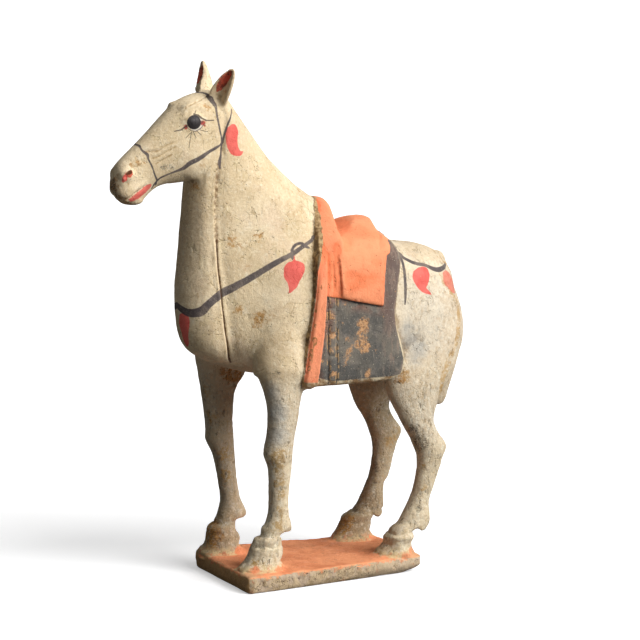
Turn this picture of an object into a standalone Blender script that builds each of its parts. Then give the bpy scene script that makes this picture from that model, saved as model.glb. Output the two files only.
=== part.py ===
"""A moulded pottery horse with its saddle, standing on the thin slab it was fired with.

The whole figure is one fired piece, so it is one closed solid, pottery_horse.
It is modelled as a modeller in clay would build it up: trunk, neck, head, ears,
legs, tail, saddle and slab are lofted one by one, then fused and smoothed together.

Frame: metres, +Z up.  The horse looks towards -Y, its left side is +X, and the
origin is on the underside of the slab, below the middle of the horse.
Station lists are in millimetres and are turned into metres when rings are made.
"""
import math

import bmesh
import bpy
from mathutils import Euler, Vector

# ---------------------------------------------------------------- driving sizes
MM = 0.001
SLAB_THICKNESS = 11.0
SLAB_CORNERS = ((-41.8, -63.0), (46.0, -64.5), (37.0, 63.5), (-35.0, 62.0))
SLAB_CORNER_RADIUS = (5.0, 2.5, 4.0, 6.0)
SLAB_BELOW_GROUND = 4.0
WORN_CORNER = 2
WORN_CORNER_INSET = 8.0

LEG_X = 30.0
CLAY_COLOUR = (0.72, 0.62, 0.47, 1.0)
CLAY_ROUGHNESS = 0.85

FUSE_VOXEL = 0.8 * MM
SMOOTH_PASSES = 7
SMOOTH_FACTOR = 0.5
TRIANGLES = 9000

RING_POINTS = 32
STEPS_BETWEEN = 4
CORNER_STEPS = 5

# Trunk along Y: y, top z, bottom z, half width, squareness, egg (wider below if < 0).
TRUNK = (
    (-66.0, 186.0, 142.0, 10.0, 2.0, 0.0),
    (-58.0, 198.0, 136.0, 22.0, 2.0, -0.05),
    (-42.0, 212.0, 131.5, 32.0, 2.1, -0.08),
    (-20.0, 223.0, 130.0, 35.0, 2.2, -0.06),
    (0.0, 230.0, 129.0, 35.5, 2.3, -0.05),
    (22.0, 216.0, 128.0, 36.0, 2.5, -0.05),
    (42.0, 210.5, 128.0, 35.5, 2.4, -0.03),
    (58.0, 209.5, 126.0, 34.0, 2.3, -0.04),
    (72.0, 207.8, 124.0, 31.5, 2.2, -0.06),
    (84.0, 204.0, 127.0, 26.5, 2.1, -0.08),
    (94.0, 197.0, 132.0, 18.5, 2.0, -0.08),
    (100.0, 188.0, 139.0, 10.0, 2.0, 0.0),
)

# Neck and breast, level slices: z, front y, groove y, half width at the groove,
# widest half width, its y, crest y.
NECK = (
    (140.5, -70.0, -62.0, 9.0, 16.0, -42.0, -26.0),
    (145.0, -79.0, -64.5, 15.0, 25.0, -38.0, -20.0),
    (151.0, -86.0, -66.0, 19.4, 31.0, -34.0, -14.0),
    (160.0, -89.7, -67.2, 21.6, 33.8, -28.0, -8.0),
    (172.0, -91.3, -68.5, 22.0, 34.5, -22.0, 0.0),
    (187.0, -91.6, -70.0, 21.5, 34.0, -16.0, 6.0),
    (203.0, -90.2, -71.5, 20.5, 32.0, -14.0, 10.0),
    (226.0, -87.4, -73.0, 19.0, 26.4, -18.0, 6.8),
    (239.0, -86.2, -73.5, 18.3, 22.6, -32.0, 1.6),
    (250.0, -85.2, -73.4, 17.8, 20.2, -45.0, -11.4),
    (266.0, -82.0, -71.8, 17.2, 18.0, -57.0, -28.4),
    (284.0, -76.0, -68.5, 16.0, 16.6, -62.0, -41.9),
    (298.0, -72.0, -66.0, 13.5, 14.0, -64.0, -52.2),
    (307.0, -70.0, -65.5, 9.0, 9.6, -64.0, -58.0),
)
# The sides round over to the crest; below 2 they are flatter than an ellipse.
CREST_SQUARENESS = 1.8
GROOVE_DEPTH = 3.4
GROOVE_WIDTH = 4.2

# Head from poll to muzzle: upper y, z, lower y, z, half width, squareness, egg.
HEAD = (
    (-56.0, 305.0, -64.0, 276.0, 10.0, 2.0, 0.0),
    (-66.0, 311.5, -70.0, 266.0, 15.0, 2.2, -0.05),
    (-78.0, 310.5, -82.0, 257.0, 16.5, 2.2, -0.05),
    (-90.0, 306.3, -92.0, 254.8, 16.0, 2.2, -0.05),
    (-100.3, 297.6, -100.0, 254.6, 14.0, 2.2, -0.03),
    (-110.8, 287.8, -106.5, 252.6, 11.6, 2.2, 0.0),
    (-120.2, 279.3, -111.5, 249.0, 9.8, 2.2, 0.02),
    (-127.6, 272.9, -116.0, 245.2, 9.6, 2.3, 0.0),
    (-131.8, 268.6, -121.4, 243.2, 10.2, 2.4, -0.03),
    (-133.8, 262.6, -126.8, 243.0, 9.4, 2.4, -0.03),
    (-135.4, 256.0, -131.0, 246.2, 6.0, 2.2, 0.0),
)
# Swellings on the left half of the head: centre x, y, z and half sizes x, y, z.
HEAD_SWELLINGS = {
    "cheek": ((10.5, -82.0, 274.0), (6.6, 15.0, 17.0)),
    "brow": ((8.6, -83.5, 300.5), (5.2, 9.5, 5.4)),
    "eyeball": ((10.2, -86.5, 293.5), (6.0, 8.4, 7.0)),
    "nostril": ((6.8, -127.6, 262.0), (4.8, 5.8, 5.2)),
    "upper lip": ((4.6, -128.4, 252.5), (5.6, 6.0, 4.2)),
    "lower lip": ((3.5, -121.5, 246.2), (5.0, 6.2, 3.4)),
}

# Ear from root to tip: x, y, z of the centre, half width, half depth.
EAR = (
    (8.5, -67.5, 300.0, 4.0, 5.0),
    (11.6, -68.2, 306.0, 6.0, 7.0),
    (14.4, -68.0, 312.0, 6.9, 7.8),
    (17.4, -66.5, 318.0, 6.0, 6.2),
    (20.3, -65.0, 323.0, 4.2, 4.4),
    (22.3, -64.2, 325.8, 2.3, 2.9),
    (22.8, -64.0, 327.2, 1.2, 1.5),
)
# For each ear: side, and the turn of its hollow from straight ahead to the outside.
EARS = {"left": (1.0, math.radians(50.0)), "right": (-1.0, math.radians(12.0))}
# How deep the ear is scooped: at 1 the hollow reaches the ear's middle.
EAR_HOLLOW = 1.35

# Foreleg: z, shift in y from the leg's own line, half depth, half width, x shift.
FORELEG = (
    (184.0, 0.0, 10.0, 6.0, -6.5),
    (168.0, 1.0, 15.0, 8.5, -5.0),
    (154.0, 1.5, 18.0, 10.5, -5.5),
    (140.0, 1.5, 18.4, 11.8, -5.0),
    (128.0, 1.0, 14.6, 11.3, -3.0),
    (119.0, 0.3, 11.2, 10.0, -1.5),
    (100.0, 0.2, 9.0, 8.6, 0.0),
    (90.0, 0.0, 8.9, 8.6, 0.0),
    (84.0, -0.2, 9.3, 8.8, 0.0),
    (75.0, 2.3, 7.4, 7.2, 0.0),
    (58.0, 4.1, 6.2, 6.3, -0.5),
    (45.0, 5.5, 6.5, 6.5, -1.0),
    (36.5, 6.2, 9.8, 7.4, -1.3),
    (33.5, 5.6, 9.8, 7.6, -1.5),
    (31.5, 1.6, 7.8, 7.8, -1.6),
    (29.0, 0.3, 8.2, 8.4, -1.8),
    (26.0, 0.6, 10.2, 9.6, -2.0),
    (20.0, 0.8, 11.3, 10.2, -2.5),
    (15.0, 0.4, 13.2, 11.0, -3.0),
    (11.5, 0.0, 15.6, 12.2, -3.0),
    (8.0, 0.0, 17.2, 12.8, -3.0),
)
KNEE_Z = 84.0
HOOF_Z = 20.0
# For each foreleg: side, y at the top of the leg, at the knee and at the hoof, and
# how far the hoof is set back; below 0 it is set forward.
FORELEGS = {
    "left": (1.0, -32.5, -36.5, -45.0, 0.0),
    "right": (-1.0, -51.0, -49.2, -47.0, -2.2),
}

# Hind leg: z, y of the centre, half depth, half width, x shift.
HIND_LEG = (
    (190.0, 74.0, 14.0, 9.0, -18.0),
    (176.0, 74.0, 20.0, 12.0, -13.0),
    (162.0, 73.5, 24.0, 13.5, -11.5),
    (148.0, 71.5, 25.8, 14.0, -10.0),
    (132.0, 66.0, 26.2, 13.8, -7.5),
    (118.0, 62.2, 20.6, 12.0, -4.5),
    (106.0, 60.8, 14.6, 10.0, -2.0),
    (97.0, 61.6, 11.0, 8.6, 0.0),
    (88.0, 66.4, 10.2, 8.2, 0.0),
    (80.0, 71.0, 11.2, 8.2, 0.0),
    (74.0, 70.9, 8.8, 7.4, 0.0),
    (66.0, 69.3, 6.9, 6.6, -0.4),
    (52.0, 65.6, 6.0, 6.3, -1.0),
    (44.0, 63.0, 6.8, 6.7, -1.4),
    (36.0, 61.7, 9.6, 7.5, -1.7),
    (31.0, 60.2, 11.2, 7.8, -2.0),
    (29.0, 55.0, 9.8, 8.0, -2.0),
    (27.0, 50.8, 8.2, 8.6, -2.0),
    (24.0, 48.6, 9.6, 9.8, -2.0),
    (19.0, 47.2, 10.9, 10.2, -3.0),
    (15.0, 46.0, 12.8, 10.6, -4.0),
    (11.5, 45.4, 15.2, 11.0, -4.6),
    (8.0, 45.4, 17.2, 11.4, -5.0),
)
# For each hind leg: side, shift in y, and how deep its fetlock is, 1 being as listed.
HIND_LEGS = {"left": (1.0, 0.0, 1.0), "right": (-1.0, -1.4, 0.84)}
FETLOCK_Z = (28.0, 48.0)

# Tail, lying down the rump: z, outer y, depth, half width.
TAIL = (
    (201.0, 93.0, 11.0, 5.0),
    (197.0, 96.0, 12.0, 6.0),
    (190.0, 97.0, 12.0, 6.5),
    (178.0, 102.2, 12.0, 7.0),
    (165.0, 107.2, 13.0, 7.0),
    (152.0, 109.6, 13.0, 7.0),
    (140.0, 108.8, 14.0, 6.8),
    (128.0, 105.0, 14.0, 6.2),
    (115.0, 100.8, 13.0, 5.4),
    (105.0, 97.8, 11.0, 4.8),
    (100.0, 96.0, 8.0, 3.8),
)

# Saddle and its cloths, level slices: z, front y, rear y, half width.
SADDLE = (
    (126.5, -18.0, 36.0, 40.0),
    (128.0, -23.0, 43.0, 41.5),
    (131.5, -24.0, 47.0, 42.5),
    (140.0, -22.8, 48.5, 43.0),
    (156.0, -20.4, 44.0, 43.0),
    (170.0, -18.0, 41.4, 43.0),
    (187.0, -15.6, 43.6, 42.6),
    (200.0, -14.6, 46.5, 41.0),
    (208.0, -12.6, 45.5, 39.0),
    (213.5, -9.0, 43.0, 34.8),
    (217.4, 5.0, 40.4, 28.0),
    (221.2, 18.5, 40.0, 18.6),
    (224.6, 24.0, 40.8, 11.5),
    (226.2, 27.5, 40.6, 7.0),
    (226.8, 31.0, 38.0, 4.0),
)
POMMEL = (
    (206.0, -12.6, 13.0, 39.0),
    (213.0, -11.6, 10.0, 37.5),
    (220.0, -10.0, 7.6, 33.5),
    (226.0, -8.2, 7.2, 28.0),
    (232.0, -6.0, 8.0, 21.5),
    (237.0, -3.4, 8.8, 14.0),
    (240.6, 0.4, 7.4, 6.0),
)
CANTLE = (
    (186.0, 34.0, 44.0, 33.0),
    (198.0, 34.0, 49.0, 27.0),
    (206.0, 33.0, 52.0, 19.0),
    (212.8, 32.0, 51.8, 12.0),
    (216.8, 32.0, 48.6, 5.0),
)
# Corner radii in plan, in front and behind.
SADDLE_CORNERS = (2.5, 7.0)
POMMEL_CORNERS = (3.0, 9.0)
CANTLE_CORNERS = (9.0, 9.0)
BAND_CORNERS = (1.2, 1.2)
# Raised bands on the saddle's side: z, front y, rear y; each adds its own thickness.
CLOTH = ((182.8, 1.0, 30.5), (190.0, 0.6, 31.0), (204.0, 0.0, 33.5), (212.0, 0.0, 35.0),
         (217.0, 8.0, 34.0), (222.0, 21.0, 32.0))
CLOTH_THICKNESS = 1.8
CLOTH_TILT = 0.22
FRONT_BAND = ((128.5, -23.2, -15.0), (140.0, -22.0, -13.5), (156.0, -19.8, -11.5),
              (170.0, -17.4, -10.0), (187.0, -15.0, -9.2), (204.0, -14.2, -9.0),
              (210.0, -13.6, -9.0))
FRONT_BAND_THICKNESS = 1.4


# ---------------------------------------------------------------- shape helpers
def eased(stations):
    """The stations with STEPS_BETWEEN - 1 more between each pair, on smooth curves."""
    rows = []
    last = len(stations) - 1
    for index in range(last):
        before = stations[max(index - 1, 0)]
        start = stations[index]
        end = stations[index + 1]
        after = stations[min(index + 2, last)]
        for step in range(STEPS_BETWEEN):
            t = step / STEPS_BETWEEN
            rows.append(tuple(
                hermite(a, b, (b - p) / 2, (n - a) / 2, t)
                for p, a, b, n in zip(before, start, end, after)))
    rows.append(tuple(stations[-1]))
    return rows


def hermite(start, end, slope_start, slope_end, t):
    """A cubic from start to end whose slopes at both ends are given."""
    return ((2 * t**3 - 3 * t**2 + 1) * start + (t**3 - 2 * t**2 + t) * slope_start
            + (3 * t**2 - 2 * t**3) * end + (t**3 - t**2) * slope_end)


def power_of(value, exponent):
    """value raised to exponent with its sign kept."""
    return math.copysign(abs(value) ** exponent, value)


def oval(centre, along, across, squareness=2.0, egg=0.0):
    """A closed superellipse ring with the half axes along and across."""
    points = []
    for index in range(RING_POINTS):
        angle = 2 * math.pi * index / RING_POINTS
        up = power_of(math.cos(angle), 2 / squareness)
        out = power_of(math.sin(angle), 2 / squareness) * (1 + egg * up)
        points.append(centre + along * up + across * out)
    return points


def rounded_outline(corners, radii, z):
    """A level polygon with each corner turned by a small arc."""
    points = []
    total = len(corners)
    for index, corner in enumerate(corners):
        here = Vector((*corner, z))
        to_last = (Vector((*corners[index - 1], z)) - here).normalized()
        to_next = (Vector((*corners[(index + 1) % total], z)) - here).normalized()
        radius = radii[index]
        start = here + to_last * radius
        end = here + to_next * radius
        for step in range(CORNER_STEPS + 1):
            t = step / CORNER_STEPS
            points.append(start * (1 - t) ** 2 + here * 2 * t * (1 - t) + end * t**2)
    return points


def loft(rings):
    """A closed bmesh skinned over rings that have the same number of points."""
    shell = bmesh.new()
    loops = [[shell.verts.new(point * MM) for point in ring] for ring in rings]
    count = len(loops[0])
    for lower, upper in zip(loops, loops[1:]):
        for index in range(count):
            following = (index + 1) % count
            shell.faces.new((lower[index], lower[following], upper[following], upper[index]))
    shell.faces.new(list(reversed(loops[0])))
    shell.faces.new(loops[-1])
    bmesh.ops.recalc_face_normals(shell, faces=shell.faces)
    return shell


def ellipsoid(centre, half_sizes):
    """A ball stretched to the given half sizes."""
    shell = bmesh.new()
    bmesh.ops.create_uvsphere(shell, u_segments=24, v_segments=16, radius=1.0)
    bmesh.ops.scale(shell, vec=Vector(half_sizes) * MM, verts=shell.verts)
    bmesh.ops.translate(shell, vec=Vector(centre) * MM, verts=shell.verts)
    return shell


def add_object(name, shell, collection):
    """Put a bmesh into a new named object."""
    mesh = bpy.data.meshes.new(name)
    shell.to_mesh(mesh)
    shell.free()
    made = bpy.data.objects.new(name, mesh)
    collection.objects.link(made)
    return made


def apply_modifiers(target):
    """Replace an object's mesh by the one its modifiers make."""
    graph = bpy.context.evaluated_depsgraph_get()
    evaluated = target.evaluated_get(graph)
    result = bpy.data.meshes.new_from_object(evaluated)
    target.modifiers.clear()
    target.data = result


# ---------------------------------------------------------------- parts of the horse
def trunk_rings():
    rings = []
    for y, top, bottom, half_width, squareness, egg in eased(TRUNK):
        centre = Vector((0, y, (top + bottom) / 2))
        along = Vector((0, 0, (top - bottom) / 2))
        rings.append(oval(centre, along, Vector((half_width, 0, 0)), squareness, egg))
    return rings


def half_neck_slice(front, groove, at_groove, widest, widest_y, crest):
    """Points (x, y) down the left side of a neck slice, from the front to the crest."""
    points = []
    arc_steps = 9
    for step in range(arc_steps + 1):
        angle = math.pi / 2 * step / arc_steps
        x = at_groove * math.sin(angle)
        y = groove + (front - groove) * math.cos(angle)
        points.append((x, y))
    points.append((at_groove - GROOVE_DEPTH, groove + GROOVE_WIDTH / 2))
    points.append((at_groove + 0.6, groove + GROOVE_WIDTH))
    side_steps = 6
    for step in range(1, side_steps + 1):
        angle = math.pi / 2 * step / side_steps
        x = at_groove + 0.6 + (widest - at_groove - 0.6) * math.sin(angle)
        y = groove + GROOVE_WIDTH + (widest_y - groove - GROOVE_WIDTH) * step / side_steps
        points.append((x, y))
    back_steps = 10
    for step in range(1, back_steps):
        angle = math.pi / 2 * step / back_steps
        x = widest * math.cos(angle) ** (2 / CREST_SQUARENESS)
        y = widest_y + (crest - widest_y) * math.sin(angle) ** (2 / CREST_SQUARENESS)
        points.append((x, y))
    points.append((0.0, crest))
    return points


def neck_rings():
    rings = []
    for z, *measures in eased(NECK):
        left = half_neck_slice(*measures)
        right = [(-x, y) for x, y in reversed(left[1:-1])]
        rings.append([Vector((x, y, z)) for x, y in left + right])
    return rings


def head_rings():
    rings = []
    for top_y, top_z, low_y, low_z, half_width, squareness, egg in eased(HEAD):
        top = Vector((0, top_y, top_z))
        low = Vector((0, low_y, low_z))
        rings.append(oval((top + low) / 2, (top - low) / 2, Vector((half_width, 0, 0)),
                          squareness, egg))
    return rings


def ear_rings(side, opening_turn):
    """Leaf-shaped ear, scooped out on the side that it opens to."""
    rings = []
    for x, y, z, half_width, half_depth in eased(EAR):
        points = []
        for index in range(RING_POINTS):
            angle = 2 * math.pi * index / RING_POINTS
            facing = max(0.0, math.cos(angle)) ** 2
            reach = 1 - EAR_HOLLOW * facing
            forward = half_depth * math.cos(angle) * reach
            sideways = half_width * math.sin(angle)
            turned = Vector((sideways, -forward, 0))
            turned.rotate(Euler((0, 0, opening_turn)))
            points.append(Vector((side * (x + turned.x), y + turned.y, z)))
        rings.append(points)
    return rings


def foreleg_rings(side, top_y, knee_y, hoof_y, set_back):
    rings = []
    for z, shift, half_depth, half_width, x_shift in eased(FORELEG):
        if z > KNEE_Z:
            line = knee_y + (top_y - knee_y) * min((z - KNEE_Z) / 30.0, 1.0)
        else:
            line = hoof_y + (knee_y - hoof_y) * (z - HOOF_Z) / (KNEE_Z - HOOF_Z)
        if z < FETLOCK_Z[0]:
            line += set_back
        centre = Vector((side * (LEG_X + x_shift), line + shift, z))
        rings.append(oval(centre, Vector((0, half_depth, 0)), Vector((half_width, 0, 0)), 2.2))
    return rings


def hind_leg_rings(side, y_shift, fetlock):
    rings = []
    for z, y, half_depth, half_width, x_shift in eased(HIND_LEG):
        if FETLOCK_Z[0] < z < FETLOCK_Z[1]:
            y -= half_depth * (1 - fetlock)
            half_depth *= fetlock
        centre = Vector((side * (LEG_X + x_shift), y + y_shift, z))
        rings.append(oval(centre, Vector((0, half_depth, 0)), Vector((half_width, 0, 0)), 2.2))
    return rings


def tail_rings():
    rings = []
    for z, outer_y, depth, half_width in eased(TAIL):
        centre = Vector((0, outer_y - depth / 2, z))
        rings.append(oval(centre, Vector((0, depth / 2, 0)), Vector((half_width, 0, 0)), 2.4))
    return rings


def blanket_rings(stations, corner_radii):
    """Level slices of something laid across the back, square in plan."""
    rings = []
    for z, front, rear, half_width in eased(stations):
        corners = ((-half_width, front), (half_width, front),
                   (half_width, rear), (-half_width, rear))
        limit = min(half_width, (rear - front) / 2) * 0.9
        in_front = min(corner_radii[0], limit)
        behind = min(corner_radii[1], limit)
        rings.append(rounded_outline(corners, (in_front, in_front, behind, behind), z))
    return rings


def saddle_half_width(height):
    """Half width of the saddle at a height, read between its stations."""
    rows = eased(SADDLE)
    for (z0, _, _, w0), (z1, _, _, w1) in zip(rows, rows[1:]):
        if z0 <= height <= z1:
            return w0 + (w1 - w0) * (height - z0) / (z1 - z0)
    return rows[-1][3]


def band_rings(band, thickness, tilt=0.0):
    """A raised band right across the saddle, a little wider than it; tilt lowers its rear."""
    stations = [(z, front, rear, saddle_half_width(z) + thickness) for z, front, rear in band]
    rings = blanket_rings(stations, BAND_CORNERS)
    front = band[0][1]
    return [[Vector((x, y, z - tilt * (y - front))) for x, y, z in ring] for ring in rings]


def slab_rings():
    rings = []
    levels = ((-SLAB_BELOW_GROUND, 0.8, 1.0), (0.6, 0.8, 0.8), (2.5, 0.3, 0.35), (5.5, 0.0, 0.0),
              (SLAB_THICKNESS - 1.2, 0.0, 0.0), (SLAB_THICKNESS, 1.0, 0.0))
    middle = Vector((sum(c[0] for c in SLAB_CORNERS) / 4, sum(c[1] for c in SLAB_CORNERS) / 4))
    for z, inset, wear in levels:
        corners = []
        radii = []
        for index, corner in enumerate(SLAB_CORNERS):
            inward = (middle - Vector(corner)).normalized()
            pull = inset * 1.4
            radius = SLAB_CORNER_RADIUS[index]
            if index == WORN_CORNER:
                pull += WORN_CORNER_INSET * wear
                radius += WORN_CORNER_INSET * wear
            corners.append(tuple(Vector(corner) + inward * pull))
            radii.append(radius)
        rings.append(rounded_outline(corners, radii, z))
    return rings


# ---------------------------------------------------------------- the figure
def build_shells(collection):
    """All the lofted and rounded forms, still loose, as objects."""
    shells = [add_object("trunk", loft(trunk_rings()), collection),
              add_object("neck", loft(neck_rings()), collection),
              add_object("head", loft(head_rings()), collection),
              add_object("tail", loft(tail_rings()), collection),
              add_object("saddle", loft(blanket_rings(SADDLE, SADDLE_CORNERS)), collection),
              add_object("pommel", loft(blanket_rings(POMMEL, POMMEL_CORNERS)), collection),
              add_object("cantle", loft(blanket_rings(CANTLE, CANTLE_CORNERS)), collection),
              add_object("cloth", loft(band_rings(CLOTH, CLOTH_THICKNESS, CLOTH_TILT)),
                         collection),
              add_object("front band", loft(band_rings(FRONT_BAND, FRONT_BAND_THICKNESS)),
                         collection),
              add_object("slab", loft(slab_rings()), collection)]
    for side, opening_turn in EARS.values():
        shells.append(add_object("ear", loft(ear_rings(side, opening_turn)), collection))
        for name, ((x, y, z), half_sizes) in HEAD_SWELLINGS.items():
            shells.append(add_object(name, ellipsoid((side * x, y, z), half_sizes), collection))
    for leg in FORELEGS.values():
        shells.append(add_object("foreleg", loft(foreleg_rings(*leg)), collection))
    for leg in HIND_LEGS.values():
        shells.append(add_object("hind leg", loft(hind_leg_rings(*leg)), collection))
    return shells


def fuse(shells, name, collection):
    """One closed skin over all the shells, smoothed where they meet, then thinned out."""
    joined = bmesh.new()
    for shell in shells:
        joined.from_mesh(shell.data)
        bpy.data.objects.remove(shell, do_unlink=True)
    figure = add_object(name, joined, collection)
    skin = figure.modifiers.new("skin", "REMESH")
    skin.mode = "VOXEL"
    skin.voxel_size = FUSE_VOXEL
    smooth = figure.modifiers.new("smooth", "SMOOTH")
    smooth.factor = SMOOTH_FACTOR
    smooth.iterations = SMOOTH_PASSES
    apply_modifiers(figure)
    triangles = sum(len(face.vertices) - 2 for face in figure.data.polygons)
    thin = figure.modifiers.new("thin", "DECIMATE")
    thin.ratio = TRIANGLES / triangles
    apply_modifiers(figure)
    return figure


def cut_flat(figure, cutters):
    """Cut the underside of the slab flat at z = 0."""
    block = bmesh.new()
    bmesh.ops.create_cube(block, size=0.4)
    bmesh.ops.translate(block, vec=Vector((0, 0, -0.2)), verts=block.verts)
    ground = add_object("ground_cut", block, cutters)
    ground.hide_render = True
    ground.display_type = "WIRE"
    cut = figure.modifiers.new("flat underside", "BOOLEAN")
    cut.operation = "DIFFERENCE"
    cut.object = ground


def clay_material():
    clay = bpy.data.materials.new("fired clay")
    clay.use_nodes = True
    shader = clay.node_tree.nodes["Principled BSDF"]
    shader.inputs["Base Color"].default_value = CLAY_COLOUR
    shader.inputs["Roughness"].default_value = CLAY_ROUGHNESS
    shader.inputs["Metallic"].default_value = 0.0
    return clay


def main():
    for old in list(bpy.data.objects):
        bpy.data.objects.remove(old, do_unlink=True)
    parts = bpy.data.collections.new("pottery horse")
    cutters = bpy.data.collections.new("cutters")
    for collection in (parts, cutters):
        bpy.context.scene.collection.children.link(collection)
    figure = fuse(build_shells(parts), "pottery_horse", parts)
    cut_flat(figure, cutters)
    figure.data.materials.clear()
    figure.data.materials.append(clay_material())
    figure.data.shade_smooth()
    print("pottery_horse:", len(figure.data.polygons), "faces before the cut")


main()
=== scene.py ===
# %% [markdown]
# # A moulded pottery horse, dressed in slip and paint
# The real object is one fired piece: a hollow horse pressed in moulds, with its saddle and the
# thin slab it stands on, covered in pale slip and painted after firing.  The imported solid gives
# its true form.  Here that form becomes a fine skin, is worked like leather-hard clay, and is
# then painted and aged with materials built up from patterns, layer by layer.

# %% Load the fixed frame and measure it
import itertools
import math

import bmesh
import bpy
import numpy as np
from mathutils import Matrix, Vector
from mathutils.bvhtree import BVHTree


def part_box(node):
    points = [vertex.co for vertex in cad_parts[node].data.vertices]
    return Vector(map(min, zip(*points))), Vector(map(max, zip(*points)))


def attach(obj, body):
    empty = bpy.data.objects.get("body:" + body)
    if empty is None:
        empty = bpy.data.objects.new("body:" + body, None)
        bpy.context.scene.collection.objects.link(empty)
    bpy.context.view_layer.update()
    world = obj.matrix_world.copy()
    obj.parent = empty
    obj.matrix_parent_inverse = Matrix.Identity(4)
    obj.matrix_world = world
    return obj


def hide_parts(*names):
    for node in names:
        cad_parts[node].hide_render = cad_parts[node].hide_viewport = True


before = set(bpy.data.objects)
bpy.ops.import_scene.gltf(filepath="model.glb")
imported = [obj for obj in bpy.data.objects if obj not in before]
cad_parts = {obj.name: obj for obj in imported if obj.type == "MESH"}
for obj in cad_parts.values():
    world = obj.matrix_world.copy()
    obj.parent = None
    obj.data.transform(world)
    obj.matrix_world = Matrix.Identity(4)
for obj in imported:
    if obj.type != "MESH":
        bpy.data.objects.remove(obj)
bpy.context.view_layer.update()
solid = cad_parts["pottery_horse"]
low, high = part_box("pottery_horse")
MM = 0.001
print("solid from", [round(v / MM, 1) for v in low], "to", [round(v / MM, 1) for v in high], "mm")

# %% [markdown]
# ## The camera
# The horse is seen from its left and a little from the front, from far away with a long lens,
# so that its upright lines stay upright.  The camera is made from a turn about the vertical and
# a rise above the floor, looking at the middle of the figure.

# %% Camera
CAMERA_TURN = math.radians(64)
CAMERA_RISE = math.radians(9.5)
CAMERA_DISTANCE = 2.4
CAMERA_TARGET = Vector((0.002, -0.001, 0.165))


def view_axes(turn, rise):
    """Right, up and backward directions of a camera that circles the figure."""
    back = Vector((math.sin(turn) * math.cos(rise), -math.cos(turn) * math.cos(rise), math.sin(rise)))
    right = Vector((math.cos(turn), math.sin(turn), 0))
    return right, back.cross(right), back


camera = bpy.data.objects.new("camera", bpy.data.cameras.new("camera"))
bpy.context.scene.collection.objects.link(camera)
right, up, back = view_axes(CAMERA_TURN, CAMERA_RISE)
camera.matrix_world = (Matrix.Translation(CAMERA_TARGET + back * CAMERA_DISTANCE)
                       @ Matrix((right, up, back)).transposed().to_4x4())
camera.data.sensor_width = 36
camera.data.lens = 213.4
camera.data.shift_x = 0.0167
camera.data.shift_y = -0.0063
camera.data.clip_end = 100
bpy.context.scene.camera = camera
print("camera stands", CAMERA_DISTANCE, "m away")

# %% [markdown]
# ## A skin fine enough to work on
# The solid has a few thousand flat facets.  Subdividing rounds them, a voxel remesh turns the
# result into even little squares of two thirds of a millimetre, and a little smoothing takes off
# the last steps.  A finer grid would catch more, but costs time at every later step.

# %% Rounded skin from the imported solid
SKIN_GRID = 0.66 * MM
SKIN_SMOOTHING = 5


def settle(shape):
    """Work an object's modifiers into its mesh."""
    graph = bpy.context.evaluated_depsgraph_get()
    shape.data = bpy.data.meshes.new_from_object(shape.evaluated_get(graph))
    shape.modifiers.clear()


def leather_hard_skin(model):
    """An even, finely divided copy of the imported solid."""
    shape = bpy.data.objects.new("pottery_horse_skin", model.data.copy())
    bpy.context.scene.collection.objects.link(shape)
    welded = bmesh.new()
    welded.from_mesh(shape.data)
    bmesh.ops.remove_doubles(welded, verts=welded.verts, dist=1e-6)
    welded.to_mesh(shape.data)
    welded.free()
    rounding = shape.modifiers.new("rounding", "SUBSURF")
    rounding.levels = rounding.render_levels = 1
    grid = shape.modifiers.new("grid", "REMESH")
    grid.mode = "VOXEL"
    grid.voxel_size = SKIN_GRID
    smoothing = shape.modifiers.new("smoothing", "SMOOTH")
    smoothing.factor = 0.5
    smoothing.iterations = SKIN_SMOOTHING
    settle(shape)
    return shape


horse = leather_hard_skin(solid)
print("skin has", len(horse.data.vertices), "points")

# %% [markdown]
# ## Points as clay
# Modelling tools push clay in or pull it out.  The same is done here with arrays: every point
# of the skin knows its outward direction, and a tool is a number of millimetres for each point.

# %% The clay
def neighbour_sum(ends, values):
    """The sum of the values at each point's neighbours; ends are the edges' pairs of points."""
    one, other = ends.T
    return np.stack([np.bincount(one, column[other], len(values))
                     + np.bincount(other, column[one], len(values)) for column in values.T], 1)


class Clay:
    """The skin's points in millimetres, their outward directions and their neighbours."""

    def __init__(self, shape):
        self.mesh = shape.data
        self.count = len(self.mesh.vertices)
        self.points = self.read("co").astype(float) / MM
        self.out = self.read("normal").astype(float)
        ends = np.empty(len(self.mesh.edges) * 2, np.int32)
        self.mesh.edges.foreach_get("vertices", ends)
        self.ends = ends.reshape(-1, 2)
        self.degree = np.bincount(self.ends.ravel(), minlength=self.count)

    def read(self, name):
        """Three numbers of every point, such as its place."""
        values = np.empty(self.count * 3, np.float32)
        self.mesh.vertices.foreach_get(name, values)
        return values.reshape(-1, 3)

    def settle(self):
        """Write the points back to the mesh and take new outward directions from it."""
        self.mesh.vertices.foreach_set("co", (self.points * MM).astype(np.float32).ravel())
        self.mesh.update()
        self.out = self.read("normal").astype(float)

    def push(self, amount):
        """Move every point outwards by its own amount, in millimetres."""
        self.points += self.out * amount[:, None]

    def relax(self, share, passes):
        """Smooth the clay where share is above 0."""
        touched, local = np.unique(self.ends[(share[self.ends] > 0).any(1)], return_inverse=True)
        places = self.points[touched]
        pull = (0.5 * share[touched] / self.degree[touched])[:, None]
        degree = np.bincount(local.ravel(), minlength=len(touched))[:, None]
        for _ in range(passes):
            places += (neighbour_sum(local.reshape(-1, 2), places) - places * degree) * pull
        self.points[touched] = places

    def bend(self, passes):
        """How hollow the skin is at each point, in millimetres; below 0 it bulges."""
        middle = neighbour_sum(self.ends, self.points) / self.degree[:, None]
        value = ((middle - self.points) * self.out).sum(1)[:, None]
        for _ in range(passes):
            value = neighbour_sum(self.ends, value) / self.degree[:, None]
        return value[:, 0]


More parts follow.
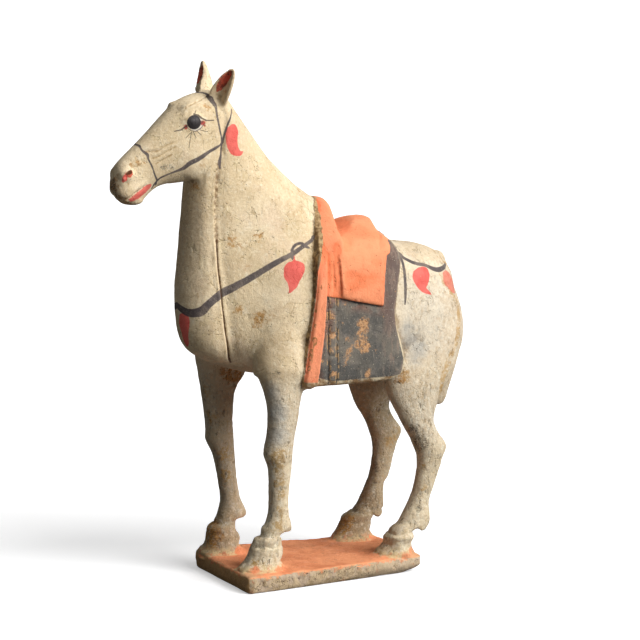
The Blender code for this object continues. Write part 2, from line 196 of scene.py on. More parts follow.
clay = Clay(horse)
print("clay has", clay.count, "points and", len(clay.ends), "edges")

# %% [markdown]
# ## Measuring tools
# Soft steps and bells shape the edge of every mark.  Lumps are a soft random field, always the
# same for the same seed.  A line is a curve through knots, and a trace tells how far points are
# from it.

# %% Steps, lumps and lines
def ramp(values, start, end):
    """0 before start, 1 after end, and a soft step between."""
    t = np.clip((values - start) / (end - start), 0, 1)
    return t * t * (3 - 2 * t)


def bell(offset, width):
    """1 at the middle, falling away softly over a width."""
    return np.exp(-(offset / width) ** 2)


def lumps(points, size, seed):
    """Soft random unevenness between -1 and 1, with features about size millimetres wide."""
    lattice = np.random.default_rng(seed).uniform(-1, 1, (16, 16, 16))
    places = points / size
    cells = np.floor(places).astype(int)
    share = places - cells
    share = share * share * (3 - 2 * share)
    total = np.zeros(len(points))
    for corner in itertools.product((0, 1), repeat=3):
        weight = np.prod(np.where(corner, share, 1 - share), axis=1)
        x, y, z = ((cells + corner) % 16).T
        total += weight * lattice[x, y, z]
    return total


def line_through(knots, steps=8):
    """Many points on a smooth curve through a few knots; extra columns are blended too."""
    knots = np.array(knots, float)
    padded = np.vstack((2 * knots[0] - knots[1], knots, 2 * knots[-1] - knots[-2]))
    t = np.linspace(0, 1, steps, endpoint=False)[:, None]
    pieces = []
    for a, b, c, d in zip(padded, padded[1:], padded[2:], padded[3:]):
        pieces.append(b + 0.5 * t * (c - a + t * (2 * a - 5 * b + 4 * c - d
                                                  + t * (3 * (b - c) + d - a))))
    pieces.append(knots[-1:])
    return np.vstack(pieces)


def to_pieces(points, line):
    """How far points are from each straight piece of a line, and how far along it (0 to 1)."""
    run = np.diff(line, axis=0)
    offset = points[:, None] - line[:-1]
    t = np.clip((offset * run).sum(2) / (run * run).sum(1), 0, 1)
    return np.linalg.norm(offset - t[..., None] * run, axis=2), t


def trace(points, line, reach):
    """Which points lie within reach of a line, how far off it, and how far along it (0 to 1)."""
    track = line[:, :3]
    close = np.flatnonzero(((points > track.min(0) - reach) & (points < track.max(0) + reach)).all(1))
    gap, t = to_pieces(points[close], track)
    nearest = gap.argmin(1)
    rows = np.arange(len(close))
    along = (nearest + t[rows, nearest]) / (len(track) - 1)
    near = gap[rows, nearest] < reach
    return close[near], gap[rows, nearest][near], along[near]


print("a ramp from 0 to 4 reads", float(ramp(1, 0, 4)), "at 1")

# %% [markdown]
# ## Tools that follow the surface
# A groove or a brush stroke is given by a few knots.  A smooth curve runs through them and is
# laid onto the skin, so that it bends round the neck or the flank as a real tool would.  The
# horse came out of two moulds that mirror each other, so most marks are made on both sides.

# %% Lines and outlines laid on the horse
class Surface:
    """The skin as it is now, for laying lines on it."""

    def __init__(self, shape):
        self.tree = BVHTree.FromObject(shape, bpy.context.evaluated_depsgraph_get())

    def lay(self, knots):
        """A smooth line through the knots, moved to the nearest places on the skin."""
        line = line_through(knots)
        for row in line:
            row[:3] = np.array(self.tree.find_nearest(Vector(row[:3] * MM))[0]) / MM
        return line

    def press(self, knots):
        """A smooth line through the knots, pressed level against the horse's side."""
        line = line_through(knots)
        for row in line:
            side = math.copysign(1, row[0])
            start = Vector((side * 80, row[1], row[2])) * MM
            row[0] = self.tree.ray_cast(start, Vector((-side, 0, 0)))[0].x / MM
        return line


def other_side(knots):
    """The same knots on the horse's right side."""
    return [(-knot[0], *knot[1:]) for knot in knots]


def both_sides(knots):
    """The knots as given, on the horse's left, and mirrored on its right."""
    return knots, other_side(knots)


def moved(knots, y=0, z=0):
    """The same knots a little behind or above."""
    return [(knot[0], knot[1] + y, knot[2] + z) for knot in knots]


def on_flank(table, forward=0):
    """Knots at the left side of the horse from pairs of height and y."""
    return [(20, y - forward, z) for z, y in table]


surface = Surface(horse)
clay.settle()
print("lines can now be laid on", horse.name)

# %% [markdown]
# ## Tools that press and pull
# A groove follows lines, a dab adds a mound, and a nudge shifts the clay bodily.  A profile is a
# drawn outline read off as numbers.

# %% Groove, dab, nudge and profile
def groove(amount, lines, width, height, laid=None):
    """Add height (negative cuts in) along lines, fading at the line's ends and edges."""
    for knots in lines:
        rows, gap, along = trace(clay.points, (laid or surface.lay)(knots), width)
        ends = np.sqrt(np.sin(np.pi * np.clip(along, 0, 1)))
        amount[rows] += height * (1 - ramp(gap, 0, width)) * ends


def dab(amount, centre, size, height, sides=(1, -1)):
    """Add a soft round or oval mound; size is its half length along x, y and z."""
    for side in sides:
        offset = (clay.points - np.array(centre) * (side, 1, 1)) / size
        amount += height * np.exp(-2 * (offset ** 2).sum(1))


def nudge(centre, size, move):
    """Shift the clay softly round a place by a small step in x, y and z."""
    offset = (clay.points - centre) / size
    clay.points += np.exp(-2 * (offset ** 2).sum(1))[:, None] * move


def profile(values, table):
    """Read a table of pairs like a drawn profile: what is the second number at this first one?"""
    table = np.array(table, float)
    return np.interp(values, table[:, 0], table[:, 1])


print("a profile through 0 and 10 reads", profile(0.5, [(0, 0), (1, 10)]), "halfway")

# %% [markdown]
# ## The head
# The mould gave the head its planes; the maker then sharpened eyes, nostrils and mouth with a
# pointed stick.  Each mark here is a groove or a dab, added up first and pushed in once, so
# that neighbouring marks blend instead of cutting into each other.

# %% Eyes, brows, cheeks, nostrils, mouth and ears
EYE = (16, -86.6, 294.1)
BROW = [(10, -93.6, 298.4), (11.2, -90.4, 301.8), (11.4, -87, 304), (9.6, -81.2, 306), (8, -74.8, 308.2)]
UPPER_LID = [(15, -92, 294.6), (15.6, -89.6, 298), (15.4, -86.6, 299.6), (15.8, -82.6, 298.8),
             (16.2, -78.6, 295.4)]
LOWER_LID = [(14.6, -91.6, 290.6), (15.6, -88.6, 288), (16.2, -85.2, 287.8), (16.6, -81.2, 289.8)]
MOUTH = [(4.4, -132.6, 248), (8.3, -127.7, 248.2), (9.7, -124.3, 250.9), (9.2, -120.1, 253.4),
         (8.8, -115.2, 256.2)]
NOSTRIL = [(10.4, -131, 260.4), (11.2, -128.9, 262.6), (10.4, -126.6, 265.4)]
CRESTS = {"upper": [(7.5, -115.8, 277.9), (11.1, -108.7, 278.6), (12.3, -103.9, 281.4), (13.9, -98.5, 284)],
          "middle": [(9.6, -112.6, 273.6), (12, -107.2, 275.6), (13.2, -102.6, 278.4), (14.2, -98, 281)],
          "lower": [(11.2, -109.8, 270.6), (12.6, -104.7, 273.4), (13.6, -100, 276.4)]}
NEAR_EAR = [(13, -67, 313.4), (16.2, -66.2, 317.8), (19, -64.8, 321.6), (20.8, -63.9, 324.4)]
FAR_EAR = [(-13.4, -69, 313.4), (-14.8, -68.4, 317.4), (-16.4, -67, 321.2), (-19, -65.4, 324.4)]

head = np.zeros(clay.count)
dab(head, EYE, (4, 5.4, 5), 0.8)
groove(head, both_sides(UPPER_LID), 1.9, 0.55)
groove(head, both_sides(LOWER_LID), 1.6, 0.35)
groove(head, both_sides(moved(UPPER_LID, z=3.6)), 2.4, -0.45)
dab(head, (13.4, -80.6, 302.6), (4, 5.4, 3), 0.7)
groove(head, both_sides(BROW), 1, -0.5)
for ridge in CRESTS.values():
    groove(head, both_sides(ridge), 1.4, 0.35)
    groove(head, both_sides(moved(ridge, -0.4, -1.7)), 1, -0.4)
groove(head, both_sides(NOSTRIL), 3.4, 0.8)
groove(head, both_sides(NOSTRIL), 2.3, -2.6)
groove(head, both_sides([(8, -125.2, 268.4), (9, -121.2, 269.8), (9.4, -117.6, 268.8)]), 1.8, 0.6)
groove(head, both_sides(MOUTH), 1.1, -1.1)
groove(head, both_sides(moved(MOUTH, z=2.4)), 2, 0.45)
groove(head, both_sides(moved(MOUTH, z=-2.6)), 2.2, 0.6)
groove(head, (NEAR_EAR, FAR_EAR), 2.6, -1.3)
clay.push(head)
nudge((-15, -70.5, 309.6), (9, 5, 4.5), (-0.8, -2.4, 0.9))
nudge((-5, -92.5, 303.2), (9, 4, 3), (0, -1.3, 0.9))
nudge((-20.8, -64, 325.5), (5, 5, 4.5), (0, 0, 1.6))
clay.settle()
print("head worked: deepest", round(head.min(), 2), "mm, highest", round(head.max(), 2), "mm")

# %% [markdown]
# ## The seam down the neck
# The front and back halves of the neck were luted together.  The wide joint is first rubbed
# smooth, then the seam is drawn again as a fine cut with a low ridge of clay along its front.

# %% Neck seam
SEAM = [(141.5, -60.2), (147, -63.6), (160, -67.4), (175, -69.6), (190, -70.9), (205, -72.3), (220, -72.9),
        (239, -73), (257, -71.5), (262, -70.8), (268, -69.6)]

JOINT_CORE, JOINT_WIDTH = 4.5, 7.5
RUBS = 120

joint = np.zeros(clay.count)
for knots in both_sides(on_flank(SEAM)):
    rows, gap, _ = trace(clay.points, surface.press(knots), JOINT_WIDTH)
    joint[rows] = 1 - ramp(gap, JOINT_CORE, JOINT_WIDTH)
clay.relax(joint, RUBS)
clay.settle()
surface = Surface(horse)

neck = np.zeros(clay.count)
crisp = [pair for pair in SEAM if pair[0] < 225]
faint = SEAM[6:]
groove(neck, both_sides(on_flank(crisp)), 1.1, -1.3, surface.press)
groove(neck, both_sides(on_flank(faint)), 2, -0.55, surface.press)
groove(neck, both_sides(on_flank(SEAM, 1.9)), 1.5, 0.5, surface.press)
neck *= 1 + 0.35 * lumps(clay.points, 5, 15)
clay.push(neck)
clay.settle()
print("seam cut", round(-neck.min(), 2), "mm deep")

# %% [markdown]
# ## The saddle
# The saddle is moulded with the body: a padded seat between pommel and cantle, an orange cloth
# whose free edge hangs over a long dark flap, a flat band down the front edge, and beside it two
# soft pleats.  Its edges are profiles in the side view, and are worked on both flanks.  The
# shoulder swells up to the saddle, so that only a narrow edge of it stands free.

# %% Outlines of the saddle, and the shoulder beside it
FRONT_EDGE = [(126.5, -23.5), (131.5, -24), (140, -22.8), (156, -20.4), (170, -18), (187, -15.6),
              (200, -14.6), (208, -12.6), (213, -11.6), (220, -10), (226, -8.2), (232, -6), (237, -3.4),
              (240.6, 1)]
BAND_EDGE = [(131.7, -14.7), (140.1, -13.6), (154.3, -11.6), (168.5, -10), (184.1, -9.1), (196.7, -7.9),
             (210.4, -6.6)]
CLOTH_REAR = [(175.5, 30), (194.1, 31.7), (206.4, 34.5), (207.7, 36.7), (211.5, 38.4), (214.7, 38.9),
              (219, 60)]
CLOTH_FOOT = [(-9, 184.1), (-3.8, 183), (1.3, 182), (10.6, 179.8), (19.7, 177.7), (29.1, 175.6)]
POMMEL_CREASE = [(8, 9, 223), (20, 7.5, 223), (29, 5.6, 221.5), (36, 2.6, 215), (40.6, 0.4, 206.5)]
CANTLE_CREASE = [(14, 40, 221), (21.9, 37.9, 219.4), (30, 34.6, 216.3), (35.6, 31.4, 212), (38.8, 30, 208)]
COLUMN = (-7.6, -1.6)
STITCHED_ACROSS = (175.8, 160, 146)
SHOULDER_SWELL = 4.2

x, y, z = clay.points.T
across = np.abs(x)
beside = ramp(profile(z, FRONT_EDGE) + 1.5 - y, 0, 1.5)
beside *= ramp(y, -58, -26) * ramp(z, 124, 140)
beside *= ramp(z, 232, 196)
swelling = np.sign(x) * SHOULDER_SWELL * beside * ramp(across, 22, 33) * ramp(across, 43.5, 37)
clay.points[:, 0] += swelling
clay.settle()
surface = Surface(horse)
print("shoulder swells by up to", round(float(np.abs(swelling).max()), 2), "mm")

# %% [markdown]
# ## Cloth, band and creases
# The cloth stands a little proud of the flap and ends in a crisp edge.  The band down the front
# has a raised rim with a cut behind it, and creases part the seat from pommel and cantle.

# %% Cloth edge, band and creases
saddle = np.zeros(clay.count)
flank = ramp(np.abs(x), 26, 34)
from_band = y - profile(z, BAND_EDGE)
below_seat = ramp(z, 128, 131) * ramp(z, 214, 204)
over_foot = z - profile(y, CLOTH_FOOT)
on_cloth = ramp(over_foot, -0.3, 0.3) * ramp(z, 224, 196)
on_cloth *= ramp(profile(z, CLOTH_REAR) - y, -0.3, 0.3)
on_cloth *= ramp(from_band, -0.3, 0.5)
saddle += 0.9 * on_cloth * flank * np.where(y < 1, 0.35, 1)
saddle -= 0.5 * flank * bell(over_foot + 1, 0.9) * ramp(from_band, 0, 1) * ramp(y, 31, 29)
saddle += 0.6 * flank * ramp(np.abs(from_band + 1), 1.3, 0) * below_seat
saddle -= 0.9 * flank * ramp(np.abs(from_band - 0.7), 1.2, 0) * below_seat
groove(saddle, both_sides(POMMEL_CREASE), 2, -0.5)
groove(saddle, both_sides(moved(POMMEL_CREASE, 2.2)), 1.6, 0.4)
groove(saddle, both_sides(CANTLE_CREASE), 1.8, -0.5)
dab(saddle, (35, 36, 208), (5, 4, 7), 0.8)
print("cloth covers", int((on_cloth * flank > 0.5).sum()), "points")

# %% [markdown]
# ## Pleats and the stitched column
# Two soft pleats run down the cloth behind the band.  Below it, on the flap, a padded column is
# stitched across in three places.

# %% Pleats and stitched column
PLEATS = {"long": [(210, 0.2), (204.8, 0.3), (196.2, 0.5), (188, 1), (182.6, 1.3)],
          "short": [(206, -3.4), (195.1, -3.5), (184.4, -3.6)]}
for pleat in PLEATS.values():
    groove(saddle, both_sides(on_flank(pleat)), 0.9, -0.5, surface.press)
    groove(saddle, both_sides(on_flank(pleat, -1.3)), 1.2, 0.5, surface.press)
on_flap = flank * ramp(over_foot, -0.6, -2) * ramp(z, 128, 131)
middle, half = sum(COLUMN) / 2, (COLUMN[1] - COLUMN[0]) / 2
saddle += 0.7 * on_flap * np.sqrt(np.clip(1 - ((y - middle) / half) ** 2, 0, 1))
for edge_y in COLUMN:
    saddle -= 0.7 * on_flap * bell(y - edge_y, 0.8)
for stitch_z in STITCHED_ACROSS:
    stitch = bell(z - stitch_z - 0.1 * (y - middle), 0.7)
    saddle -= 0.9 * on_flap * stitch * ramp(np.abs(y - middle), half, 1)
saddle += on_flap * 0.16 * lumps(clay.points, 3, 17)
clay.push(saddle)
clay.settle()
print("saddle worked: deepest", round(saddle.min(), 2), "mm, highest", round(saddle.max(), 2), "mm")

# %% [markdown]
# ## Legs that carry weight
# Such legs could be rolled, luted on and bent by hand.  Soft shifts of a few millimetres give
# them their stance: the hind fetlocks sink behind, the cannons stand back, and the clay where
# the legs join the body rounds off.  A shift is a place, its reach along x, y and z, and its step.
# The left hind toe is drawn back, and three heels are drawn in where they meet the slab.

# %% Shifts of the legs
SHIFTS = [
    ((34, -33.4, 32), (8, 4.2, 3.6), (0, -2.8, 0.4)),
    ((-22.5, -39.8, 28), (9, 4.5, 5.5), (0, -2.8, 0)),
    ((34.4, 65.4, 31.6), (9, 6.6, 4.6), (0, -1.6, -5.4)),
    ((-21.7, 60.8, 31.6), (9, 6.6, 4.8), (0, -0.2, -6)),
    ((36, 71, 66), (12, 8, 20), (0, 1.8, 0)),
    ((-23.2, 68, 56), (12, 8, 18), (0, 1.5, 0)),
    ((-23, 57.5, 68), (10, 6, 14), (0, -1.6, 0)),
    ((-30, 41, 28), (9, 5, 3.8), (0, 3.2, 0.3)),
    ((35, -31, 34), (9, 4.5, 5), (0, -2.3, 1)),
    ((-18, -40, 127), (9, 8, 15), (1.4, 2.4, 0)),
    ((24, -49, 136.5), (7, 6, 4.5), (-1.2, -1.4, -1.6)),
    ((36, -20, 127.5), (12, 5, 4), (0, 1.6, -1.8)),
]
HEELS = [(-21, -36), (33.8, -32), (-17, 56)]
TOE_BACK = 4.2
HEEL_IN = 3

for centre, size, move in SHIFTS:
    nudge(centre, size, move)
x, y, z = clay.points.T
toe = ramp(y, 49, 35) * ramp(y, 20, 26) * ramp(z, 36, 29) * ramp(z, 10.8, 12.4)
clay.points[:, 1] += TOE_BACK * (toe * ramp(x, 5, 12))
for heel_x, heel_y in HEELS:
    near = np.exp(-((x - heel_x) / 9) ** 2 - ((y - heel_y) / 5) ** 2)
    clay.points[:, 1] -= HEEL_IN * (near * ramp(z, 11, 12.5) * ramp(z, 21, 15))
clay.settle()
print(len(SHIFTS), "shifts made; left hind toe drawn back", TOE_BACK, "mm")

# %% [markdown]
# ## Hooves
# A lumpy collar of clay marks the top of each hoof, with a crease pressed in above it, each at its
# own height.  A few cuts and pads differ from hoof to hoof, and the foot of each hoof spreads a
# little where it was luted to the slab.

# %% Collars, creases and spread feet
SLAB_TOP = 11
COLLARS = {"left fore": (1, -1, 33.2), "right fore": (-1, -1, 31), "left hind": (1, 1, 25.4),
           "right hind": (-1, 1, 29.2)}
HOOF_CUTS = [
    ([(29.1, -50.4, 24.8), (32.8, -50.9, 26.2), (35.8, -48, 27.2), (37.5, -42.6, 25.7),
      (36.6, -38, 26.6)], 1.2, -1.2),
    ([(29, 34.5, 19), (35, 36, 20), (39, 42, 20.4), (39, 50, 21.4)], 1.1, -0.9),
    ([(33.9, -40, 30.6), (35.4, -41.4, 27.6), (35, -44.6, 26.8)], 1.1, -0.9),
]
HOOF_PADS = [((27, -47, 37.4), (4.6, 4, 3), 1.4), ((34.8, -45.6, 31), (4, 5, 3.6), 0.9),
             ((-26, -51, 28.6), (5, 5, 3.4), 0.9)]

feet = np.zeros(clay.count)
for side, end, collar in COLLARS.values():
    here = ramp(x * side, 0, 5) * ramp(y * end, -5, 5)
    above = z - (collar + 0.9 * lumps(clay.points, 8, 11))
    feet -= 0.7 * here * bell(above, 1)
    feet += 0.8 * here * bell(above + 3, 1.9) * (1 + 0.8 * lumps(clay.points, 4, 12))
    feet -= 0.35 * here * bell(above + 6.8, 0.8) * ramp(lumps(clay.points, 9, 13), -0.3, 0.3)
for knots, width, height in HOOF_CUTS:
    groove(feet, [knots], width, height)
for centre, size, height in HOOF_PADS:
    dab(feet, centre, size, height, (1,))
spread = ramp(z, 17, 12.5) * ramp(z, SLAB_TOP - 0.5, SLAB_TOP + 0.8)
feet += spread * (0.5 + 0.7 * lumps(clay.points, 5, 14)) * ramp(np.abs(clay.out[:, 2]), 0.95, 0.6)
print("collars at", [collar for _, _, collar in COLLARS.values()], "mm")

# %% [markdown]
# ## Slab edges
# The slab was cut from a rolled sheet.  Its sides are chipped and pitted, its upper edge is
# knocked blunt, and the sheet curls up a little at the front of its right side.

# %% Chips, blunt edges and a raised rim
CHIP_DEPTH = 1.9
BLUNTING = 1.5
CURL = 1.3

side_facing = ramp(np.abs(clay.out[:, 2]), 0.75, 0.35)
on_slab_side = ramp(z, SLAB_TOP + 0.6, SLAB_TOP - 0.6) * ramp(z, 0.2, 1.4) * side_facing
chips = np.clip(lumps(clay.points, 7, 21) * 0.7 + lumps(clay.points, 3.2, 22) * 0.5 - 0.2, 0, 1)
feet -= on_slab_side * (CHIP_DEPTH * chips + 0.3 * lumps(clay.points, 2, 23))
upper_edge = bell(z - SLAB_TOP, 1.6) * ramp(z, 3, 9)
feet -= upper_edge * side_facing * np.clip(lumps(clay.points, 5, 24) + 0.1, 0, 1) * BLUNTING
clay.push(feet)
far_rim = ramp(x, -28, -42) * ramp(z, SLAB_TOP - 3, SLAB_TOP) * ramp(z, 20, 13)
clay.points[:, 2] += CURL * (far_rim * ramp(y, 30, 0))
clay.settle()
print("slab edge chipped up to", round(-feet.min(), 2), "mm")

# %% [markdown]
# ## The tail's edge
# The tail was pressed with the body and hangs against the buttock.  A line cut down its edge, with
# a low ridge behind, parts the one from the other.

# %% Line beside the tail
TAIL_EDGE = [(20.7, 82.7, 189.7), (24.4, 85.3, 181), (25, 89.6, 175.7), (24.9, 92.6, 170.5),
             (26.6, 92.9, 163.7), (28.2, 92.1, 157.9), (30.2, 89.9, 150.3), (31.4, 87.9, 144.5),
             (33.7, 82.3, 135.3), (34.8, 79, 128.6), (35.2, 76.3, 121.8), (33.9, 76.5, 115.1)]
tail = np.zeros(clay.count)
surface = Surface(horse)
groove(tail, both_sides(TAIL_EDGE), 1.7, -0.9)
groove(tail, both_sides(moved(TAIL_EDGE, 1.6)), 1.8, 0.7)
clay.push(tail)
clay.settle()
print("tail line cut", round(-tail.min(), 2), "mm deep")

# %% [markdown]
# ## Hand-made unevenness
# A surface finished by hand is never quite flat.  Three sizes of lumps are added: the slow waves
# left by fingers, the small facets of a scraper, and the grain of worn slip.  Small pits are
# scattered where the slip has flaked.

# %% Unevenness over the whole horse
calm = 1 - 0.6 * ramp(clay.points[:, 2], 255, 265)
calm *= ramp(clay.points[:, 2], 0.5, 2.5)
rough = 1 + 0.8 * ramp(clay.points[:, 2], 130, 100)
unevenness = (0.30 * lumps(clay.points, 15, 31) + 0.16 * lumps(clay.points, 6, 32)
              + 0.08 * rough * lumps(clay.points, 2.2, 33))
flaked = ramp(lumps(clay.points, 14, 35), -0.1, 0.5)
unevenness -= 0.3 * flaked * ramp(lumps(clay.points, 1.9, 34), 0.5, 0.85)
clay.push(unevenness * calm)
clay.settle()
surface = Surface(horse)
print("unevenness", round(unevenness.std(), 3), "mm on average")

# %% [markdown]
# ## Where the painter's brush went
# The painter worked straight onto the pale slip.  Each stroke of the harness is a few knots with
# a half width, so that it swells and thins with the hand.  Bridle, breast strap and crupper are
# painted, not modelled.

# %% Strokes of the harness
HARNESS = {
    "brow and cheek strap": [
        (0, -77.4, 310.4, 1), (3.2, -75, 310.8, 0.9), (6.1, -73.4, 309.7, 1), (10.6, -72.7, 307.3, 1.6),
        (12, -70.5, 303.4, 1.2), (13.3, -70.2, 300.5, 0.8), (14.5, -70, 296.4, 0.7),
        (15.3, -68.9, 289.3, 0.65), (14.4, -67.5, 280.8, 0.6), (14.5, -68.2, 273.6, 0.55),
        (15.1, -69.4, 268.5, 1.1), (15.5, -69.1, 264.5, 0.5)],
    "strap behind the cheek": [
        (10.4, -58.5, 300.1, 0.5), (13.9, -60.7, 295.9, 0.55), (14.8, -63.4, 291, 0.65),
        (14.4, -65.5, 284.8, 0.7), (14.4, -66.8, 280.7, 0.9)],
    "chin strap": [
        (14.4, -67.2, 279.8, 0.7), (15.9, -72.4, 277.1, 0.85), (16.7, -77.4, 274.9, 1.05),
        (16.9, -83.1, 271.6, 1.4), (15.8, -89.3, 268.7, 1.45), (13.9, -93, 265.6, 1.2),
        (12.4, -97.9, 263.6, 0.7), (10.8, -102.8, 261.7, 0.65), (9.9, -106.9, 259.7, 0.65),
        (8.3, -109.6, 256.6, 0.65), (6.6, -111.1, 253.4, 0.5)],
    "noseband": [
        (0, -118.7, 279.9, 0.7), (4.1, -118.2, 279.8, 0.75), (6.7, -117.7, 277.5, 0.6),
        (8.1, -116.4, 276, 0.8), (9.2, -114.9, 274.5, 1), (9.8, -114.6, 272, 0.6),
        (10.5, -112.7, 267.9, 0.6), (10.6, -111.7, 265.2, 0.5), (10.3, -110.5, 262, 0.55),
        (9.3, -108.9, 258.7, 0.6), (7.3, -108.7, 255.4, 0.5)],
    "breast strap": [
        (27.2, -10.2, 218.8, 1.1), (28.2, -11.9, 217.6, 1.1), (29.1, -17.2, 215, 1.2),
        (29.8, -27.9, 209.1, 1.5), (28.8, -39.8, 203.9, 1.8), (25.6, -54.8, 195.4, 2.1),
        (21.3, -70.6, 186.9, 2.6), (19.9, -78.1, 181.5, 2.4), (17, -83.1, 176, 2.9),
        (10.8, -88.5, 174.7, 2.5), (3.7, -91.2, 176.9, 2.1), (0, -91.4, 178.2, 2)],
    "loop": [
        (29, -15.6, 212.6, 0.7), (29.5, -17.4, 213.6, 0.9), (28.8, -20, 215.9, 0.9),
        (28.9, -24.1, 215.2, 0.9), (29.3, -26.8, 211.9, 0.95), (30.3, -27.3, 206.9, 0.9)],
    "crupper": [
        (18, 52, 206, 1.1), (19.8, 54.2, 203.7, 1.2), (21.9, 55.3, 201.7, 1.25), (23.5, 59.4, 199.1, 1.3),
        (23.9, 64.2, 197.2, 1.3), (23, 70.4, 195.7, 1.3), (22.2, 76.6, 192.9, 1.6), (20, 82.1, 191.6, 1.7),
        (14.8, 88.5, 192.1, 1.4), (10.6, 91.8, 193.2, 0.9)],
    "hanging strap": [
        (19.6, 53.4, 204.2, 0.9), (24, 53.4, 199.6, 1), (26.9, 53.1, 196.3, 1), (31.2, 52.1, 188.2, 1.1),
        (33.6, 51.2, 180, 1), (34.4, 50.5, 173.6, 0.5)],
}
print(len(HARNESS), "strokes of harness")

# %% [markdown]
# ## Leaves
# Leaf-shaped pendants hang from the straps, and a red leaf each marks the lips and the top of the
# tail.  A leaf is a closed outline.

# %% Outlines of the leaves
LEAVES = {
    "cheek": [
        (14.6, -64.3, 288.5), (15.1, -60.5, 291.4), (14.2, -57.4, 290.3), (14.9, -56.1, 286.3),
        (16, -57.2, 282.7), (16.8, -57.2, 278.2), (17, -55.8, 274.7), (16.7, -53.6, 274.2),
        (17.4, -56.2, 271.6), (17.5, -61.6, 272.8), (17.2, -64.2, 276.4), (16.3, -65.1, 280.7),
        (14.9, -64.9, 285.5)],
    "shoulder": [
        (30.2, -26.6, 208.4), (30.6, -27, 205.5), (30.4, -29.6, 204.7), (30.6, -32.4, 202),
        (31.3, -33, 196.2), (32.1, -31.1, 192.4), (32.5, -30.7, 188.8), (32.8, -30.3, 186.3),
        (33, -26.1, 189.9), (32.8, -23.7, 194.3), (32.4, -20.5, 199.2), (31.7, -20.6, 202.9),
        (31.1, -23.6, 204.8), (30.5, -25.6, 205.6), (30.1, -25.6, 208.3)],
    "breast": [
        (2.9, -91, 173), (8.1, -89.7, 174.4), (10.6, -88.4, 171.7), (10.7, -88, 167.1), (8.7, -87.9, 160.8),
        (6.5, -86.6, 154.4), (2.7, -86.2, 151.9), (1.7, -88, 155.3), (2.1, -89.8, 161.5),
        (1.3, -90.7, 167.4)],
    "croup": [
        (27.7, 59.6, 193), (25.1, 64.9, 194.9), (23.8, 70.5, 194.3), (25.5, 72.4, 190.4),
        (28.5, 70.2, 185.1), (29.9, 67.9, 182.5), (30, 69, 181.1), (29.9, 71.8, 177.6), (30.8, 68.6, 178.3),
        (31.4, 64.2, 180.1), (31.2, 60.2, 184), (29.8, 58.1, 189)],
}
TAIL_LEAF = [(19.2, 85.2, 189.4), (15, 89.9, 189.9), (12, 94.8, 186.2), (9.6, 99.3, 178), (9.9, 99.6, 174.3),
             (17.5, 94.4, 174.5), (24.3, 90, 176.5), (24.5, 86.5, 179.8), (22.9, 84.1, 184.1)]
LIP_LEAF = [(8.3, -127.7, 247.6), (9.7, -124.3, 250.7), (9.2, -120.1, 253.2), (8.8, -115.2, 255.9),
            (8.4, -112.4, 256.6), (7.8, -112.1, 254.4), (7.3, -114.6, 251.6), (8, -118.9, 248.8),
            (8.4, -123.1, 246.7), (8.1, -125.7, 246.2)]
print(len(LEAVES) + 2, "leaves")

# %% [markdown]
# ## Brush and fill
# Both tools give a number for each point of the skin: how many millimetres inside the paint's
# edge it lies, negative outside, down to a floor that means far away.

# %% Laying strokes and filling leaves
OUTSIDE = -9.0
BRUSH_REACH = 8
LEAF_REACH = 7


def brush(area, knots, sides, laid):
    """A stroke of the brush through knots of x, y, z and half width."""
    for side in sides:
        line = (laid or surface.lay)([(knot[0] * side, *knot[1:]) for knot in knots])
        rows, gap, along = trace(clay.points, line, BRUSH_REACH)
        width = np.interp(along * (len(line) - 1), np.arange(len(line)), line[:, 3])
        area[rows] = np.maximum(area[rows], width - gap)


def leaf(area, outline, sides):
    """Fill a closed outline, laid on the horse and flattened onto its own plane."""
    for side in sides:
        ring = surface.lay([(px * side, py, pz) for px, py, pz in [*outline, outline[0]]])
        centre = ring.mean(0)
        axes = np.linalg.svd(ring - centre)[2]
        flat = (ring - centre) @ axes[:2].T
        rows = np.flatnonzero(np.linalg.norm(clay.points - centre, axis=1) < np.ptp(flat) * 0.6 + 6)
        offset = (clay.points[rows] - centre) @ axes.T
        close = np.abs(offset[:, 2]) < LEAF_REACH
        rows, offset = rows[close], offset[close]
        distance = to_pieces(offset[:, :2], flat)[0].min(1)
        start, run = flat[:-1], np.diff(flat, axis=0)
        above = start[:, 1] > offset[:, None, 1]
        crossing = above != np.roll(above, -1, axis=1)
        rise = np.where(run[:, 1] == 0, 1e-9, run[:, 1])
        where = start[:, 0] + run[:, 0] * (offset[:, None, 1] - start[:, 1]) / rise
        inside = (crossing & (where > offset[:, None, 0])).sum(1) % 2 == 1
        area[rows] = np.maximum(area[rows], np.where(inside, distance, -distance))


def stroked(*strokes, sides=(1, -1), laid=None):
    """An area painted with strokes: how far inside the paint each point lies."""
    area = np.full(clay.count, OUTSIDE)
    for knots in strokes:
        brush(area, knots, sides, laid)
    return area


def leaf_area(outlines):
    """An area filled with leaves; the breast leaf is on the left side alone."""
    area = np.full(clay.count, OUTSIDE)
    for outline in outlines:
        leaf(area, outline, (1,) if outline is LEAVES["breast"] else (1, -1))
    return area


print("brush reaches", BRUSH_REACH, "mm")

# %% [markdown]
# ## Where the saddle's colours meet
# The orange runs over seat, pommel, cloth and front band; the long flap below and behind it is
# grey-black.  These areas too are numbers at each point: millimetres inside the paint's edge.

# %% Saddle areas
REAR_EDGE = [(126.5, 36.5), (128, 43.5), (131.5, 47.3), (140, 48.8), (156, 44.3), (170, 41.7), (187, 43.9),
             (200, 46.8), (208, 46), (214, 43.5), (228, 41.5)]
CANTLE_EDGE = [(186, 44.5), (198, 49.5), (206, 52.5), (213, 53), (217, 49.6), (222, 43), (228, 41.5)]


